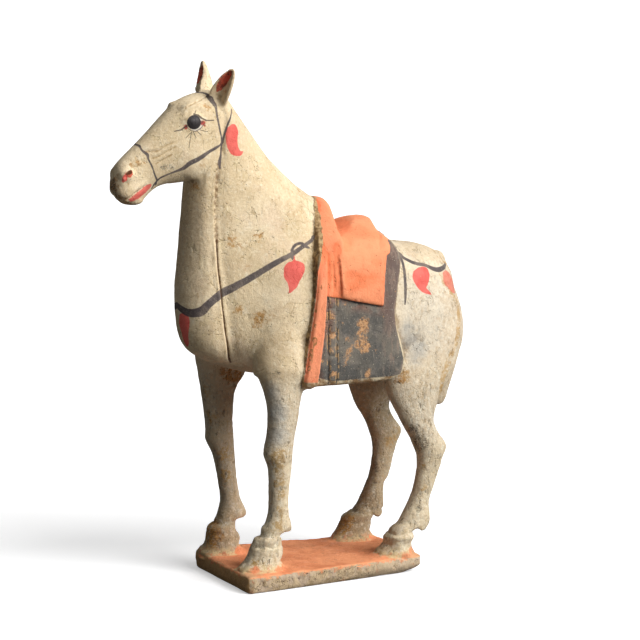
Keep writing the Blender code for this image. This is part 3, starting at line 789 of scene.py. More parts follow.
def saddle_areas():
    """How far inside the whole saddle, and inside its orange parts, each point lies."""
    x, y, z = clay.points.T
    across = np.abs(x)
    rear = profile(z, REAR_EDGE)
    rear += (np.maximum(profile(z, CANTLE_EDGE), rear) - rear) * ramp(across, 24, 17)
    foot = profile(y, [(-24, 130.6), (-14, 130), (-7, 127.6), (0, 127)])
    whole = np.minimum(np.minimum(y - profile(z, FRONT_EDGE), rear - y), z - foot)
    whole = np.where(z < 150, np.minimum(whole, across - 30), whole)
    cloth = np.minimum(profile(z, CLOTH_REAR) - y, z - profile(y, CLOTH_FOOT))
    band = profile(z, BAND_EDGE) - y
    return whole, np.minimum(np.maximum(cloth, band), whole + 1)


print("saddle runs from", min(y for _, y in FRONT_EDGE), "to", max(y for _, y in CANTLE_EDGE), "mm")

# %% [markdown]
# ## Fewer triangles, where they aren't needed
# The finished skin has far more triangles than a shared part may carry.  Collapsing edges
# brings it down; a vertex group keeps the head, where the finest work is, and a narrow strip
# beside the straps, the leaves, the seam, the orange and the saddle's front, so that their edges
# stay unbroken.

# %% Lighten the mesh
TRIANGLES = 190000
HEAD_STARTS = 254
KEPT_BESIDE = {"paint": 1.3, "saddle": 1.6, "seam": 1.7}


def fine_work():
    """Points that must stay close together: the head, and beside the edges that show most."""
    whole, orange = saddle_areas()
    areas = (stroked(*HARNESS.values()) - 0.3, leaf_area([*LEAVES.values(), TAIL_LEAF]), orange)
    near_edge = np.abs(np.stack(areas)).min(0) < KEPT_BESIDE["paint"]
    near_edge |= (np.abs(whole) < KEPT_BESIDE["saddle"]) & (clay.points[:, 1] < 0)
    for knots in both_sides(on_flank(SEAM)):
        rows, _, _ = trace(clay.points, surface.press(knots), KEPT_BESIDE["seam"])
        near_edge[rows] = True
    return near_edge | (clay.points[:, 2] > HEAD_STARTS)


def lighten(shape, goal, kept):
    """Collapse edges until about goal triangles are left, but none between kept points."""
    free = shape.vertex_groups.new(name="free")
    free.add([int(row) for row in np.flatnonzero(~kept)], 1, "REPLACE")
    shape.modifiers.new("triangles", "TRIANGULATE")
    now = sum(len(face.vertices) - 2 for face in shape.data.polygons)
    fewer = shape.modifiers.new("fewer", "DECIMATE")
    fewer.ratio = goal / now
    fewer.vertex_group = free.name
    settle(shape)
    shape.vertex_groups.clear()


kept = fine_work()
lighten(horse, TRIANGLES, kept)
for face in horse.data.polygons:
    face.use_smooth = True
print("kept", int(kept.sum()), "points; mesh lightened to", len(horse.data.polygons), "triangles")

# %% [markdown]
# ## Numbers for the painter
# On the lighter mesh every area is worked out again and stored by name.  The material turns each
# one into paint with a crisp but slightly unsteady edge, finer than the mesh itself.

# %% Harness, leaves and saddle stored on the mesh
BARE_WIDTH = [(203, -0.5), (210, 1.8), (218, 3), (228, 3), (236, 2.2), (242, 1.4), (246, -1)]

clay = Clay(horse)
surface = Surface(horse)
x, y, z = clay.points.T
across = np.abs(x)


def keep(name, values):
    """Store a number for each point, for the material to read by name."""
    layer = horse.data.attributes.new(name, "FLOAT", "POINT")
    layer.data.foreach_set("value", np.clip(values, OUTSIDE, 20).astype(np.float32))
    print(name, "painted on", int((values > 0).sum()), "points")


keep("harness", stroked(*HARNESS.values()))
keep("coral", leaf_area(LEAVES.values()))
keep("pink_leaf", leaf_area([TAIL_LEAF]))
whole, orange = saddle_areas()
keep("saddle", whole)
keep("orange", orange)
front = y - profile(z, FRONT_EDGE)
bare = ramp(-clay.out[:, 1], 0.40, 0.65) * ramp(np.abs(front), 3.6, 2.4)
bare *= ramp(across, 41.8, 40.4) * ramp(z, 236, 228)
bare *= np.where(z < 200, ramp(across, 30, 33), 1)
strip = profile(z, BARE_WIDTH)
keep("bare_edge", np.maximum(bare, ramp(np.minimum(front + 0.4, strip - front), -0.4, 0.4)))
# a thin line of painted shade where the shoulder meets the saddle's front edge
keep("strip_corner_shade", np.where(z < 243, 0.5 - np.abs(front + 0.5), OUTSIDE))

# %% [markdown]
# ## Ears, mouth, nostrils and seam
# Small strokes follow the same way: red in the ears, nostrils and lips, a brown line down the
# neck's seam, thin lines in the wrinkles of brow and nose, and an earthy line beside the tail.

# %% Small strokes
def with_width(knots, half_width):
    """The knots as a stroke of even width."""
    return [(*knot, half_width) for knot in knots]


NEAR_EAR_RED = [(12.9, -68.6, 312.8, 1.5), (13.9, -67.7, 315.4, 2.8), (15.3, -66.6, 317.7, 3.3),
                (17.4, -65.4, 320.8, 3.1), (19.4, -64.4, 322.8, 2.3), (21, -63.9, 324.6, 1.2)]
FAR_EAR_RED = [(-20.4, -67.2, 314.2, 1), (-21, -66.2, 317.5, 1.9), (-20.4, -66, 321, 2),
               (-20.8, -64.9, 323.4, 1.2), (-21.2, -63.6, 325.2, 0.5)]
NOSTRIL_RED = [(10.2, -126.3, 265.7, 0.8), (10.7, -127.2, 264.5, 1.5), (11, -128.5, 263, 1.5)]
NOSTRIL_LIP = [(9.9, -131.7, 259.2, 1.1), (10.4, -130.6, 260.6, 1.7), (10.9, -129.6, 262, 1.3)]
NOSTRIL_DARK = [(10, -126.3, 265.8, 0.7), (10.6, -127.2, 264.6, 1.2), (10.9, -128.4, 263.4, 1.1)]

keep("dark_red", np.maximum(stroked(NEAR_EAR_RED, FAR_EAR_RED, sides=(1,)), stroked(NOSTRIL_RED)))
keep("lips", np.maximum(leaf_area([LIP_LEAF]), stroked(NOSTRIL_LIP)))
lower_seam = stroked(with_width(on_flank(crisp), 0.7), laid=surface.press)
keep("seam", np.maximum(lower_seam, stroked(NOSTRIL_DARK)))
keep("upper_seam", stroked(with_width(on_flank(faint), 1.5), laid=surface.press))
wrinkles = [with_width(moved(ridge, -0.4, -1.7), 0.3) for ridge in CRESTS.values()]
keep("brow_line", stroked(with_width(BROW, 0.45), *wrinkles))
keep("tail_stain", stroked(with_width(TAIL_EDGE, 2.3)))

# %% [markdown]
# ## Stains and worn places
# Burial has left stains: ochre where iron came out, grey-black where soot or roots touched the
# slip, and rusty brown where water stood.  Two ochre spots under the jaw are painted shade, and the
# rust and soot on the front of the muzzle and the chin are stain and painted shade together.  A
# grey-blue tint lies on the left flank behind the flap and on the front of the left foreleg, the
# slab's orange is worn at two corners and smeared on the hooves, the flap has worn through in tan
# patches, and a row of marks runs down the band.  Each kind is a set of round places, given as x,
# y, z and radius; the material makes them ragged.

# %% Round stains and worn places
STAINS = {
    "ochre": [
        (29.4, -48.2, 171.5, 4.6), (28.2, -50.6, 168.6, 3), (24.3, -60.5, 176.2, 3),
        (34.5, -35.1, 157.1, 2.6), (21.1, -63.7, 219.2, 3.6), (23.3, -57, 216.6, 2), (24.5, -46, 222.2, 2.8),
        (12, -76.4, 303.4, 2.2), (8.4, -121.6, 269.8, 2.2), (31.4, -45.3, 153.1, 1.6), (-23.6, -50.4, 75, 5),
        (-23.8, -47.5, 61.7, 4), (36.9, -39.8, 84, 5.4), (36.9, -39.8, 78.8, 4.6), (36.1, -38, 67.7, 4),
        (35.8, -37.2, 59.2, 3.4), (35.3, -37.6, 49.6, 3), (35.4, -39.1, 39.5, 4), (-26, -56, 24, 6),
        (33, -52, 14, 5), (36, 61, 55, 4), (34, 47, 72, 4), (8, 100, 150, 5), (9, 103, 165, 4),
        (26, 88, 150, 3), (10, 92, 196.5, 3.4), (14, 88, 197, 2.6), (34, 49, 128, 5), (-24, -40, 128, 8),
        (-18, -46, 130, 7), (8, -12, 245, 3), (12.6, -69, 310.6, 1.8), (15.4, -66.6, 311.4, 1.6),
        # (9, -84, 254) and (7, -88, 252) are painted shade under the jaw
        (17.6, -65, 311, 1.4), (9, -84, 254, 3.4), (7, -88, 252, 3), (8.4, -124.6, 268.2, 1.2),
        (9, -119.6, 269.6, 1.4), (-28, -56, 25, 7), (-24, -57, 18, 5), (-23.6, 34.3, 17.7, 5),
        (-24, 39, 23, 6), (-14, -46, 131, 6), (-26, -58, 118, 5), (-24, -60, 100, 5), (-26, 52, 110, 6),
        (-20, 78, 80, 5), (36, 62, 67, 4), (-22, 70, 74, 5),
    ],
    "rust_and_muzzle_shade": [
        (-23, -57.5, 24, 7.5), (-20, -59.5, 17, 5), (-27, -54, 30, 4), (-24, 38, 22, 6.5),
        (-23.6, 34.3, 16.5, 5), (-16, -47, 128.5, 7), (-20, -42, 124, 4), (-15, -51, 130, 5),
        (2, -45, 133, 5), (42, -22, 128, 4.6), (42.5, -15, 127.4, 4.2), (41, -8, 127, 3.4),
        # the four on the front of the muzzle and the chin are stain and painted shade
        (1, -135.4, 255.5, 5.5), (4, -134.4, 261, 3), (3, -131, 246, 6), (5, -126.5, 243.5, 4),
        (33, 47, 127, 4), (-24, -61, 96, 4),
    ],
    "soot_and_muzzle_shade": [
        (35.6, -40.6, 137.4, 3.2), (34, -42.4, 138.8, 2.4), (35.5, -39.7, 134.3, 2),
        (11.6, -107, 266.3, 1.3), (12.1, -104.5, 266.9, 1.5), (12.4, -100.2, 266.6, 1.5),
        (11.8, -79.4, 307, 1.6), (-23.6, 59, 48.6, 1.4), (35.3, 60.5, 40.8, 2.6), (-25.2, 60.5, 56.8, 2.8),
        # the last two, on the front of the muzzle and the chin, are soot and painted shade
        (36, 60, 84, 6.5), (35, 57, 94, 4), (-25, 50, 26, 5), (0, -136, 256, 5), (2, -134, 249, 4.5),
    ],
    "blue_shade": [
        # a grey-blue tint on the left flank behind the flap and on the front of the left foreleg
        (32.6, 52, 158, 5), (33.1, 55, 150, 6), (33.4, 60, 144, 6), (35.1, 57, 138, 4), (36.4, -41, 112, 7),
        (36.8, -40, 98, 6), (35, -44, 124, 6),
    ],
    "worn_corner": [
        (40, -62, 11, 5.5), (33, -63, 11, 3), (40, -54, 11, 3), (37, 62, 11, 8), (41, 50, 11, 4),
    ],
    "smeared": [
        (-22, -36, 11, 5.5), (-17, -41, 12, 4.5), (33.8, -32, 11, 5), (38, -40, 11, 3.5), (-17, 56, 11, 5),
        (33.3, 57, 12, 5), (36.6, 50, 11, 3), (36, -55, 12, 3.5),
    ],
    "tan_patch": [
        (43, -5.6, 171.4, 2.6), (43, -4.9, 159.4, 2.6), (43, -5.2, 150, 2), (43, 16.3, 165.4, 4.6),
        (43, 16.6, 158.4, 4.4), (43, 17.1, 150.6, 4.2), (43, 12.4, 152.4, 2.6), (43, 6.2, 155.8, 2.2),
        (43, 7.3, 149, 2.4), (43, 3.8, 142.9, 2.6), (43, -4, 134, 2.6), (43, 20, 133, 3),
    ],
    "band_mark": [
        (43.1, -16.4, 175.4, 0.9), (44.2, -17, 166.2, 1.1), (44.3, -17.7, 157.5, 1.7),
        (44.3, -17.6, 154.8, 1.5), (44.2, -19.7, 150, 1.9), (44.1, -20.4, 146.3, 1.9),
        (44.1, -21.6, 139.6, 1.6),
    ],
}
ON_BOTH_SIDES = ("tan_patch", "band_mark")
HOLLOW_DEPTH = 0.05


def spots(places, sides):
    """How far inside a set of round places each point lies."""
    area = np.full(clay.count, OUTSIDE)
    for *centre, radius in places:
        for side in sides:
            gap = np.linalg.norm(clay.points - np.array(centre) * (side, 1, 1), axis=1)
            area = np.maximum(area, radius - gap)
    return area


for name, places in STAINS.items():
    keep(name, spots(places, (1, -1) if name in ON_BOTH_SIDES else (1,)))
keep("hollow", np.clip(clay.bend(4) / HOLLOW_DEPTH, -1, 1))

# %% [markdown]
# ## A palette and a few kitchen tools
# The finish is one recipe of layers, as on the real horse: fired clay, pale slip over it, paint
# over the slip, and the dirt and wear of burial over all.  Small functions keep the recipe
# readable: each adds a node or two and returns what comes out of it.

# %% Tools for a layered finish
finish = bpy.data.materials.new("painted_pottery")
finish.use_nodes = True
recipe = finish.node_tree
shader = recipe.nodes["Principled BSDF"]


def join(socket, value):
    """Link an output, or set a plain value."""
    if isinstance(value, bpy.types.NodeSocket):
        recipe.links.new(value, socket)
    else:
        socket.default_value = value


def add(kind, inputs, **settings):
    """One more node, with its inputs joined."""
    node = recipe.nodes.new("ShaderNode" + kind)
    for name, value in settings.items():
        setattr(node, name, value)
    for key, value in inputs.items():
        join(node.inputs[key], value)
    return node


def maths(operation, first, second=0, clamp=False):
    return add("Math", {0: first, 1: second}, operation=operation, use_clamp=clamp).outputs[0]


def vector(operation, first, second):
    return add("VectorMath", {0: first, 1: second}, operation=operation).outputs[0]


def plus(first, second):
    return maths("ADD", first, second)


def minus(first, second):
    return maths("SUBTRACT", first, second)


def times(first, *others):
    for other in others:
        first = maths("MULTIPLY", first, other)
    return first


def most(first, *others):
    for other in others:
        first = maths("MAXIMUM", first, other)
    return first


def step(value, start, end, low=0, high=1):
    """A soft step from low to high as value goes from start to end."""
    limits = {"From Min": start, "From Max": end, "To Min": low, "To Max": high}
    return add("MapRange", {"Value": value, **limits}, interpolation_type="SMOOTHSTEP").outputs[0]


def blend(under, colour, amount):
    """Lay a colour over what is there."""
    return add("Mix", {0: amount, 6: under, 7: colour}, data_type="RGBA").outputs[2]


def layers(under, *rows):
    """Lay colours over what is there, one after another; a row is a colour and how much of it."""
    for colour, amount in rows:
        under = blend(under, colour, amount)
    return under


def painted(name):
    """A number stored on the mesh."""
    return add("Attribute", {}, attribute_name=name).outputs["Fac"]


def tone(red, green, blue):
    """A colour as a screen shows it, 0 to 255, turned into amounts of light by the sRGB rule."""
    values = [value / 255 for value in (red, green, blue)]
    return (*[v / 12.92 if v < 0.04045 else ((v + 0.055) / 1.055) ** 2.4 for v in values], 1)


print("recipe started:", finish.name)

# %% [markdown]
# ## Clouds, dots and streaks
# Every patch, fleck and crack comes from two patterns: a cloudy noise, and scattered points.  Both
# are measured in millimetres.  A shift moves a pattern aside, so that no two layers share one; a
# stretch below 1 draws it out along that axis, as a brush or running water would.

# %% Patterns of the finish
place = add("TexCoord", {}).outputs["Object"]


def laid_out(size, shift, stretch):
    """Where a pattern lies, moved aside and drawn out, with features about size millimetres wide."""
    at = vector("MULTIPLY", place, stretch) if stretch else place
    if shift:
        at = vector("ADD", at, (shift, -shift, 0.37 * shift))
    return {"Vector": at, "Scale": 1 / (size * MM)}


def noise(size, detail, rough, shift=0, stretch=None):
    """Cloudy noise, mostly between 0.3 and 0.7."""
    inputs = {**laid_out(size, shift, stretch), "Detail": detail, "Roughness": rough}
    return add("TexNoise", inputs).outputs[0]


def patches(size, detail, rough, shift, start, end, high=1, stretch=None):
    """Cloudy patches: 0 where the noise is under start, high where it's over end."""
    return step(noise(size, detail, rough, shift, stretch), start, end, 0, high)


def streaks(size, detail, rough, shift, start, end, stretch):
    """Patches drawn out up and down the horse."""
    return patches(size, detail, rough, shift, start, end, stretch=(1, 1, stretch))


def grains(size, shift, feature="F1", stretch=None):
    """Distance to the nearest of many scattered points, or to the border between two of them."""
    return add("TexVoronoi", laid_out(size, shift, stretch), feature=feature).outputs["Distance"]


def dots(size, shift, outer, inner):
    """Scattered round dots: 0 outside outer, 1 inside inner."""
    return step(grains(size, shift), outer, inner)


def parts(direction):
    """The x, y and z parts of a direction or place."""
    return add("SeparateXYZ", {0: direction}).outputs


side_x, along_y, up_z = (times(part, 1 / MM) for part in parts(place))
across_x = maths("ABSOLUTE", side_x)
_, normal_y, normal_z = parts(add("NewGeometry", {}).outputs["Normal"])
broad = noise(38, 3, 0.5)
patchy = noise(11, 5, 0.62, 3.1)
smudge = noise(5, 6, 0.7, 9.4)
fine = noise(2.6, 6, 0.68, 7.7)
gritty = noise(0.9, 4, 0.7, 1.3)
print("patterns ready:", len(recipe.nodes), "nodes")

# %% [markdown]
# ## Slip: the pale ground
# White slip fires to cream and ages to patches of yellow, pink and grey.  Clouds of several sizes
# mix near tones, so no part of the horse is one flat colour; rump and legs are greyer and the hooves
# darker.  The far legs and far hooves are painted darker still, as painted shade on the side turned
# from the lamp, and the near lower legs paler, as painted light; the near shanks also keep brush
# marks of paler slip.

# %% Slip over fired clay
rump = times(step(along_y, 30, 55), step(up_z, 110, 150))
legs = step(up_z, 146, 110)
near_side = step(side_x, -8, 16)
far_side_painted_shade = minus(1, near_side)
low_leg = times(step(up_z, 96, 74), near_side)
hooves = step(up_z, 42, 34)
brushed = streaks(2.6, 4, 0.6, 51, 0.53, 0.62, 0.35)
slip = layers(
    blend(tone(234, 213, 177), tone(222, 199, 160), step(broad, 0.38, 0.62)),
    (tone(233, 205, 178), patches(24, 3, 0.5, 5, 0.54, 0.74, 0.4)),
    (tone(226, 206, 156), step(patchy, 0.54, 0.74, 0, 0.4)),
    (tone(220, 209, 190), times(rump, step(up_z, 196, 176, 0.4, 0.8))),
    (tone(200, 192, 174), times(legs, 0.75)),
    # painted shade: the far legs darker, most towards the back
    (tone(162, 144, 116), times(legs, far_side_painted_shade, step(along_y, 0, 20, 0.5, 0.75))),
    # painted light: the near lower legs paler
    (tone(234, 218, 184), times(low_leg, 0.7)),
    (tone(232, 226, 208), times(brushed, legs, near_side, 0.55)),
    (tone(156, 142, 112), times(patches(6, 5, 0.62, 61, 0.5, 0.6), hooves, 0.6)),
    # painted shade: the far hooves darker
    (tone(138, 114, 82), times(far_side_painted_shade, hooves, 0.5)),
    (tone(196, 186, 170), times(step(smudge, 0.5, 0.66), most(rump, legs), 0.6)),
    (tone(206, 192, 162), times(step(smudge, 0.56, 0.7), 0.22)),
    (tone(240, 227, 200), times(patches(7, 6, 0.7, 12, 0.54, 0.68), 0.5)))
print("slip laid:", len(recipe.nodes), "nodes")

# %% [markdown]
# ## Earth, wear and painted shade on the slip
# Burial leaves ochre and rusty stains that spread from pits, grey root marks, soot, and hair cracks
# that hold dirt.  Hollows are darkened, as dirt and as painted shade; the stains under the jaw and
# on the front of the muzzle also stand for shade.  Rubbing takes the slip off high edges.  A stain
# has a very ragged edge; paint has one that wanders a little.

# %% Stains, pits, cracks and rubbed edges
hollow = painted("hollow")
unsteady = minus(noise(3.4, 6, 0.72, 2.6), 0.5)
wander = step(fine, 0.2, 0.8, -0.55, 0.55)


def ragged(name, reach, start=-0.8, end=1.6):
    """1 inside a stored area, 0 outside, along a very ragged edge."""
    return step(plus(painted(name), times(unsteady, reach)), start, end)


def edge(name, soft, wandering):
    """1 inside a painted area, 0 outside, along an unsteady edge."""
    return step(plus(painted(name), times(wander, wandering)), -soft, soft)


crackle = plus(grains(7.5, 0.9, "DISTANCE_TO_EDGE", (1, 1, 0.8)), times(unsteady, 0.10))
crackle = times(step(crackle, 0.022, 0.004), step(patchy, 0.47, 0.58), 0.55)
mottle = noise(1.7, 5, 0.66, 41)
ochre = times(patches(13, 6, 0.66, 2.2, 0.6, 0.7), step(fine, 0.44, 0.62))
# ochre spots; the two under the jaw are painted shade
ochre_spot_and_jaw_shade = times(ragged("ochre", 16), step(fine, 0.36, 0.56))
brown_streaks = times(streaks(4, 5, 0.68, 4, 0.56, 0.68, 0.25), legs)
grey_streaks = times(streaks(3.2, 5, 0.7, 14, 0.56, 0.66, 0.3), legs)
scraped = times(streaks(2.1, 4, 0.62, 6.1, 0.57, 0.62, 0.42), step(patchy, 0.42, 0.56))
hair = times(scraped, most(times(rump, 0.45), legs, 0.12))
rubbed = step(plus(times(hollow, -0.3), fine), 0.66, 0.84)
beside_tail = times(ragged("tail_stain", 9, -0.6, 1.2), step(smudge, 0.4, 0.56, 0.2, 1))
# darkening in hollows: dirt, and painted shade
dirt_and_shade_in_hollows = step(plus(hollow, step(fine, 0.3, 0.7, -0.3, 0.3)), 0.35, 1.1)
specks = times(dots(2.1, 0.4, 0.19, 0.09), step(patchy, 0.48, 0.6))
peppered = times(dots(1.2, 1.9, 0.22, 0.1), step(fine, 0.42, 0.62))
# rust spots; those on the muzzle front and chin are also painted shade
rust_and_muzzle_shade = times(ragged("rust_and_muzzle_shade", 15), step(fine, 0.36, 0.56, 0.2, 1))
# soot spots; those on the muzzle front and chin are also painted shade
soot_and_muzzle_shade = times(ragged("soot_and_muzzle_shade", 12), step(gritty, 0.4, 0.56))
slip = layers(
    slip,
    (tone(170, 146, 108), crackle),
    (tone(196, 168, 126), times(step(mottle, 0.52, 0.66), step(patchy, 0.36, 0.56, 0.15, 0.5))),
    (tone(246, 233, 208), step(mottle, 0.47, 0.36, 0, 0.4)),
    (tone(188, 140, 84), times(ochre, 0.6)),
    # ochre spots, two of them painted shade under the jaw
    (blend(tone(184, 134, 68), tone(180, 142, 76), legs), times(ochre_spot_and_jaw_shade, 0.8)),
    (tone(120, 78, 40), times(ochre_spot_and_jaw_shade, step(gritty, 0.52, 0.64), 0.75)),
    (tone(160, 132, 94), times(brown_streaks, 0.45)),
    (tone(128, 120, 106), times(grey_streaks, step(low_leg, 0, 1, 0.45, 0.25))),
    (tone(88, 74, 56), times(hair, 0.65)),
    (tone(196, 166, 126), times(rubbed, 0.35)),
    (tone(178, 138, 76), times(beside_tail, 0.75)),
    # painted shade and dirt in hollows
    (tone(128, 100, 66), times(dirt_and_shade_in_hollows, 0.6)),
    (tone(110, 84, 58), times(specks, 0.8)),
    (tone(128, 112, 90), times(peppered, step(most(rump, legs), 0, 1, 0.12, 0.75))),
    (tone(164, 126, 76), times(edge("brow_line", 0.4, 1), step(smudge, 0.42, 0.52), 0.75)),
    (tone(168, 170, 168), times(ragged("blue_shade", 8, -4, 4), 0.5)),
    # rust and soot, partly painted shade on the muzzle front and chin
    (blend(tone(180, 128, 68), tone(112, 74, 40), step(gritty, 0.48, 0.62)), times(rust_and_muzzle_shade, 0.75)),
    (tone(84, 76, 66), times(soot_and_muzzle_shade, 0.75)))
print("stains added:", len(recipe.nodes), "nodes")

# %% [markdown]
# ## The grey-black flap
# Soot and a little clay would give the flap's brownish grey.  It has worn through in tan patches,
# along its rim and beside the grooves of the stitched column, and is scratched and dusty.

# %% Paint of the flap
behind = step(along_y, 29, 33)
toward_orange = step(painted("orange"), -9, -1)
worn_patches = times(patches(7, 5, 0.66, 8.4, 0.63, 0.68), step(fine, 0.45, 0.6))
tan = most(times(ragged("tan_patch", 9, -0.5, 1.3), step(fine, 0.36, 0.5)), worn_patches)
rim = step(plus(painted("saddle"), times(wander, 0.7)), 3.3, 2.5)
rim = times(rim, step(fine, 0.3, 0.46), step(up_z, 176, 160, 0.25, 1))
dusted = times(dots(1.3, 8.8, 0.24, 0.12), step(fine, 0.44, 0.6))
cross_scratches = patches(2, 3, 0.6, 27, 0.63, 0.68, stretch=(1, 0.2, 1))
flap = layers(
    blend(tone(120, 113, 102), tone(94, 91, 86), patches(16, 4, 0.6, 4.4, 0.4, 0.6)),
    (tone(138, 128, 118), times(step(smudge, 0.5, 0.68), 0.6)),
    (tone(142, 96, 78), times(toward_orange, step(patchy, 0.42, 0.6), 0.55)),
    (tone(116, 96, 88), times(behind, step(up_z, 150, 168), 0.75)),
    (tone(152, 130, 114), times(streaks(3, 4, 0.6, 71, 0.48, 0.62, 0.3), behind, 0.5)),
    (tone(82, 80, 76), times(step(up_z, 152, 136), step(patchy, 0.4, 0.58), 0.6)),
    (tone(74, 72, 74), times(dots(2.6, 6.6, 0.2, 0.1), 0.7)),
    (blend(tone(206, 160, 116), tone(150, 106, 70), step(gritty, 0.44, 0.62)), tan),
    (blend(tone(214, 198, 166), tone(150, 118, 82), step(patchy, 0.46, 0.62)), rim),
    (tone(158, 146, 130), times(streaks(2.2, 4, 0.6, 17, 0.63, 0.69, 0.16), 0.5)),
    (tone(196, 184, 160), times(dusted, 0.85)),
    (tone(150, 142, 130), times(cross_scratches, 0.4)))
for groove_y in COLUMN:
    aside = maths("ABSOLUTE", plus(along_y, minus(times(wander, 0.6), groove_y)))
    flap = layers(
        flap,
        (tone(196, 156, 106), times(step(aside, 1.7, 0.9), step(smudge, 0.48, 0.56), 0.8)),
        (tone(52, 48, 48), times(step(aside, 0.75, 0.35), step(smudge, 0.42, 0.5), 0.85)))
print("flap painted:", len(recipe.nodes), "nodes")

# %% [markdown]
# ## The orange of the saddle
# Red lead in a pale ground gives such a warm orange.  It is redder on the pommel, paler on the
# seat, paler on raised folds as a painted highlight, and marked with brown flecks and a row of rings
# down the band.
# Where the saddle stands free of the shoulder, its front edge is bare brown clay.

# %% Orange paint and the bare edge
seat = step(up_z, 206, 216)
on_band = times(step(along_y, -6.5, -8.5), step(up_z, 212, 200))
flecks = times(streaks(2, 3, 0.6, 31, 0.66, 0.7, 0.5), step(along_y, 8, 2, 0.3, 1))
rings = step(maths("ABSOLUTE", plus(painted("band_mark"), -0.3)), 0.6, 0.2)
rings = most(times(rings, 0.75), times(ragged("band_mark", 3, -0.4, 1.2), 0.35))
orange = layers(
    blend(tone(246, 143, 98), tone(240, 131, 86), step(patchy, 0.4, 0.62)),
    (tone(248, 158, 116), patches(16, 4, 0.55, 1.1, 0.52, 0.7, 0.35)),
    (tone(250, 160, 114), times(step(up_z, 204, 216), step(along_y, 2, 10), 0.6)),
    (tone(224, 116, 76), times(seat, step(along_y, 8, 2), 0.9)),
    (tone(244, 142, 104), times(on_band, 0.7)),
    (tone(214, 160, 112), times(seat, step(smudge, 0.55, 0.66), 0.5)),
    # painted highlight: raised folds paler
    (tone(255, 176, 132), times(step(hollow, -0.55, -1), 0.35)),
    (tone(196, 150, 118), times(step(fine, 0.62, 0.74), 0.6)),
    (tone(150, 86, 52), times(dots(4.4, 5.1, 0.11, 0.05), 0.9)),
    # painted shade and dirt in hollows of the orange
    (tone(190, 104, 62), times(dirt_and_shade_in_hollows, 0.35)),
    (tone(150, 92, 52), times(flecks, 0.75)),
    (tone(128, 104, 58), times(rings, step(fine, 0.34, 0.52))))
bare = layers(
    blend(tone(196, 164, 118), tone(142, 112, 76), patches(3, 5, 0.7, 3.7, 0.42, 0.6)),
    (tone(204, 176, 134), times(step(smudge, 0.54, 0.64), 0.6)),
    (tone(96, 84, 66), times(step(gritty, 0.56, 0.64), 0.5)))
print("orange mixed:", len(recipe.nodes), "nodes")

# %% [markdown]
# ## Paint over the slip
# Saddle, leaves, straps, ears, lips and seam are laid on in the painter's order, with a thin line of
# painted shade in the corner where the shoulder meets the saddle's front edge.  The coral is thin
# enough for the slip to show through where it is worn.

# %% Painted layers
saddle_on = edge("saddle", 0.4, 0.7)
orange_on = times(edge("orange", 0.25, 0.45), saddle_on)
coral = layers(
    blend(tone(238, 108, 98), tone(226, 92, 84), step(patchy, 0.4, 0.6)),
    (tone(236, 140, 122), times(step(fine, 0.58, 0.72), 0.5)))
strap = blend(tone(88, 80, 80), tone(122, 110, 102), step(patchy, 0.42, 0.62))
strap_wear = step(noise(1.8, 5, 0.7, 21), 0.3, 0.42, 0.6, 0.97)
ear_red = blend(tone(226, 96, 72), tone(140, 52, 36), step(smudge, 0.44, 0.6))
coat = layers(
    slip,
    (flap, saddle_on),
    (orange, orange_on),
    (bare, ragged("bare_edge", 0.7, 0.4, 0.6)),
    # painted shade: a thin dark line in the corner where the shoulder meets the saddle's front edge
    (tone(66, 52, 40), times(edge("strip_corner_shade", 0.3, 0.5), step(smudge, 0.4, 0.5), 0.6)),
    (coral, times(edge("coral", 0.22, 0.3), 0.95)),
    (tone(216, 108, 88), times(edge("pink_leaf", 0.4, 0.6), step(fine, 0.3, 0.6, 0.95, 0.75))),
    (tone(120, 88, 56), times(edge("upper_seam", 1.2, 1), step(fine, 0.36, 0.58, 0.15, 1), 0.7)),
    (strap, times(edge("harness", 0.22, 0.22), strap_wear)),
    (ear_red, times(edge("dark_red", 0.45, 0.9), 0.92)),
    (tone(216, 88, 80), times(edge("lips", 0.3, 0.4), 0.9)),
    (tone(84, 54, 32), times(edge("seam", 0.4, 0.5), 0.9)))
print("paint laid:", len(recipe.nodes), "nodes")

# %% [markdown]
# ## The eye
# The eye is drawn with a fine brush: a dark iris, a thin lid line, red corners and a few lashes,
# and a lighter patch in the iris as a painted highlight.
# Its lines are thinner than the mesh, so the material measures distances to short strokes.

# %% The painted eye
EYE_LINES = [
    ((-11.6, -5.5), (-7.6, -4.6), 0.3), ((-7.6, -4.6), (-4.4, -2.2), 0.4),
    ((0.6, 4.7), (3.4, 3.8), 0.5), ((3.4, 3.8), (5.4, 2.2), 0.6), ((5.4, 2.2), (8.8, 0.4), 0.45),
    ((8.8, 0.4), (13.8, 0.3), 0.3), ((-4.4, -2.9), (-2, -5.2), 0.22), ((-2, -5.2), (0.8, -5.9), 0.22),
    ((0.8, -5.9), (4.6, -4.2), 0.2), ((4.6, -4.2), (7, -1.8), 0.18),
    ((-1.6, -6), (-3.4, -15.6), 0.16), ((-0.4, -6.2), (1.4, -9.8), 0.18), ((2, -5.8), (4.8, -8.2), 0.18),
    ((4, -5), (8.4, -6.4), 0.16), ((-1.8, -6.4), (-5.2, -9.6), 0.14), ((1.2, 5), (2.4, 6.6), 0.2),
]
from_eye = {0: minus(along_y, EYE[1]), 1: minus(up_z, EYE[2])}
eye_place = add("CombineXYZ", from_eye).outputs[0]
on_cheek = times(step(across_x, 7, 8), step(up_z, 270, 271))


def how_far(centre, size=(1, 1)):
    """Distance from a point near the eye, in parts of a size."""
    offset = vector("DIVIDE", vector("SUBTRACT", eye_place, (*centre, 0)), (*size, 1))
    return add("VectorMath", {0: offset}, operation="LENGTH").outputs["Value"]


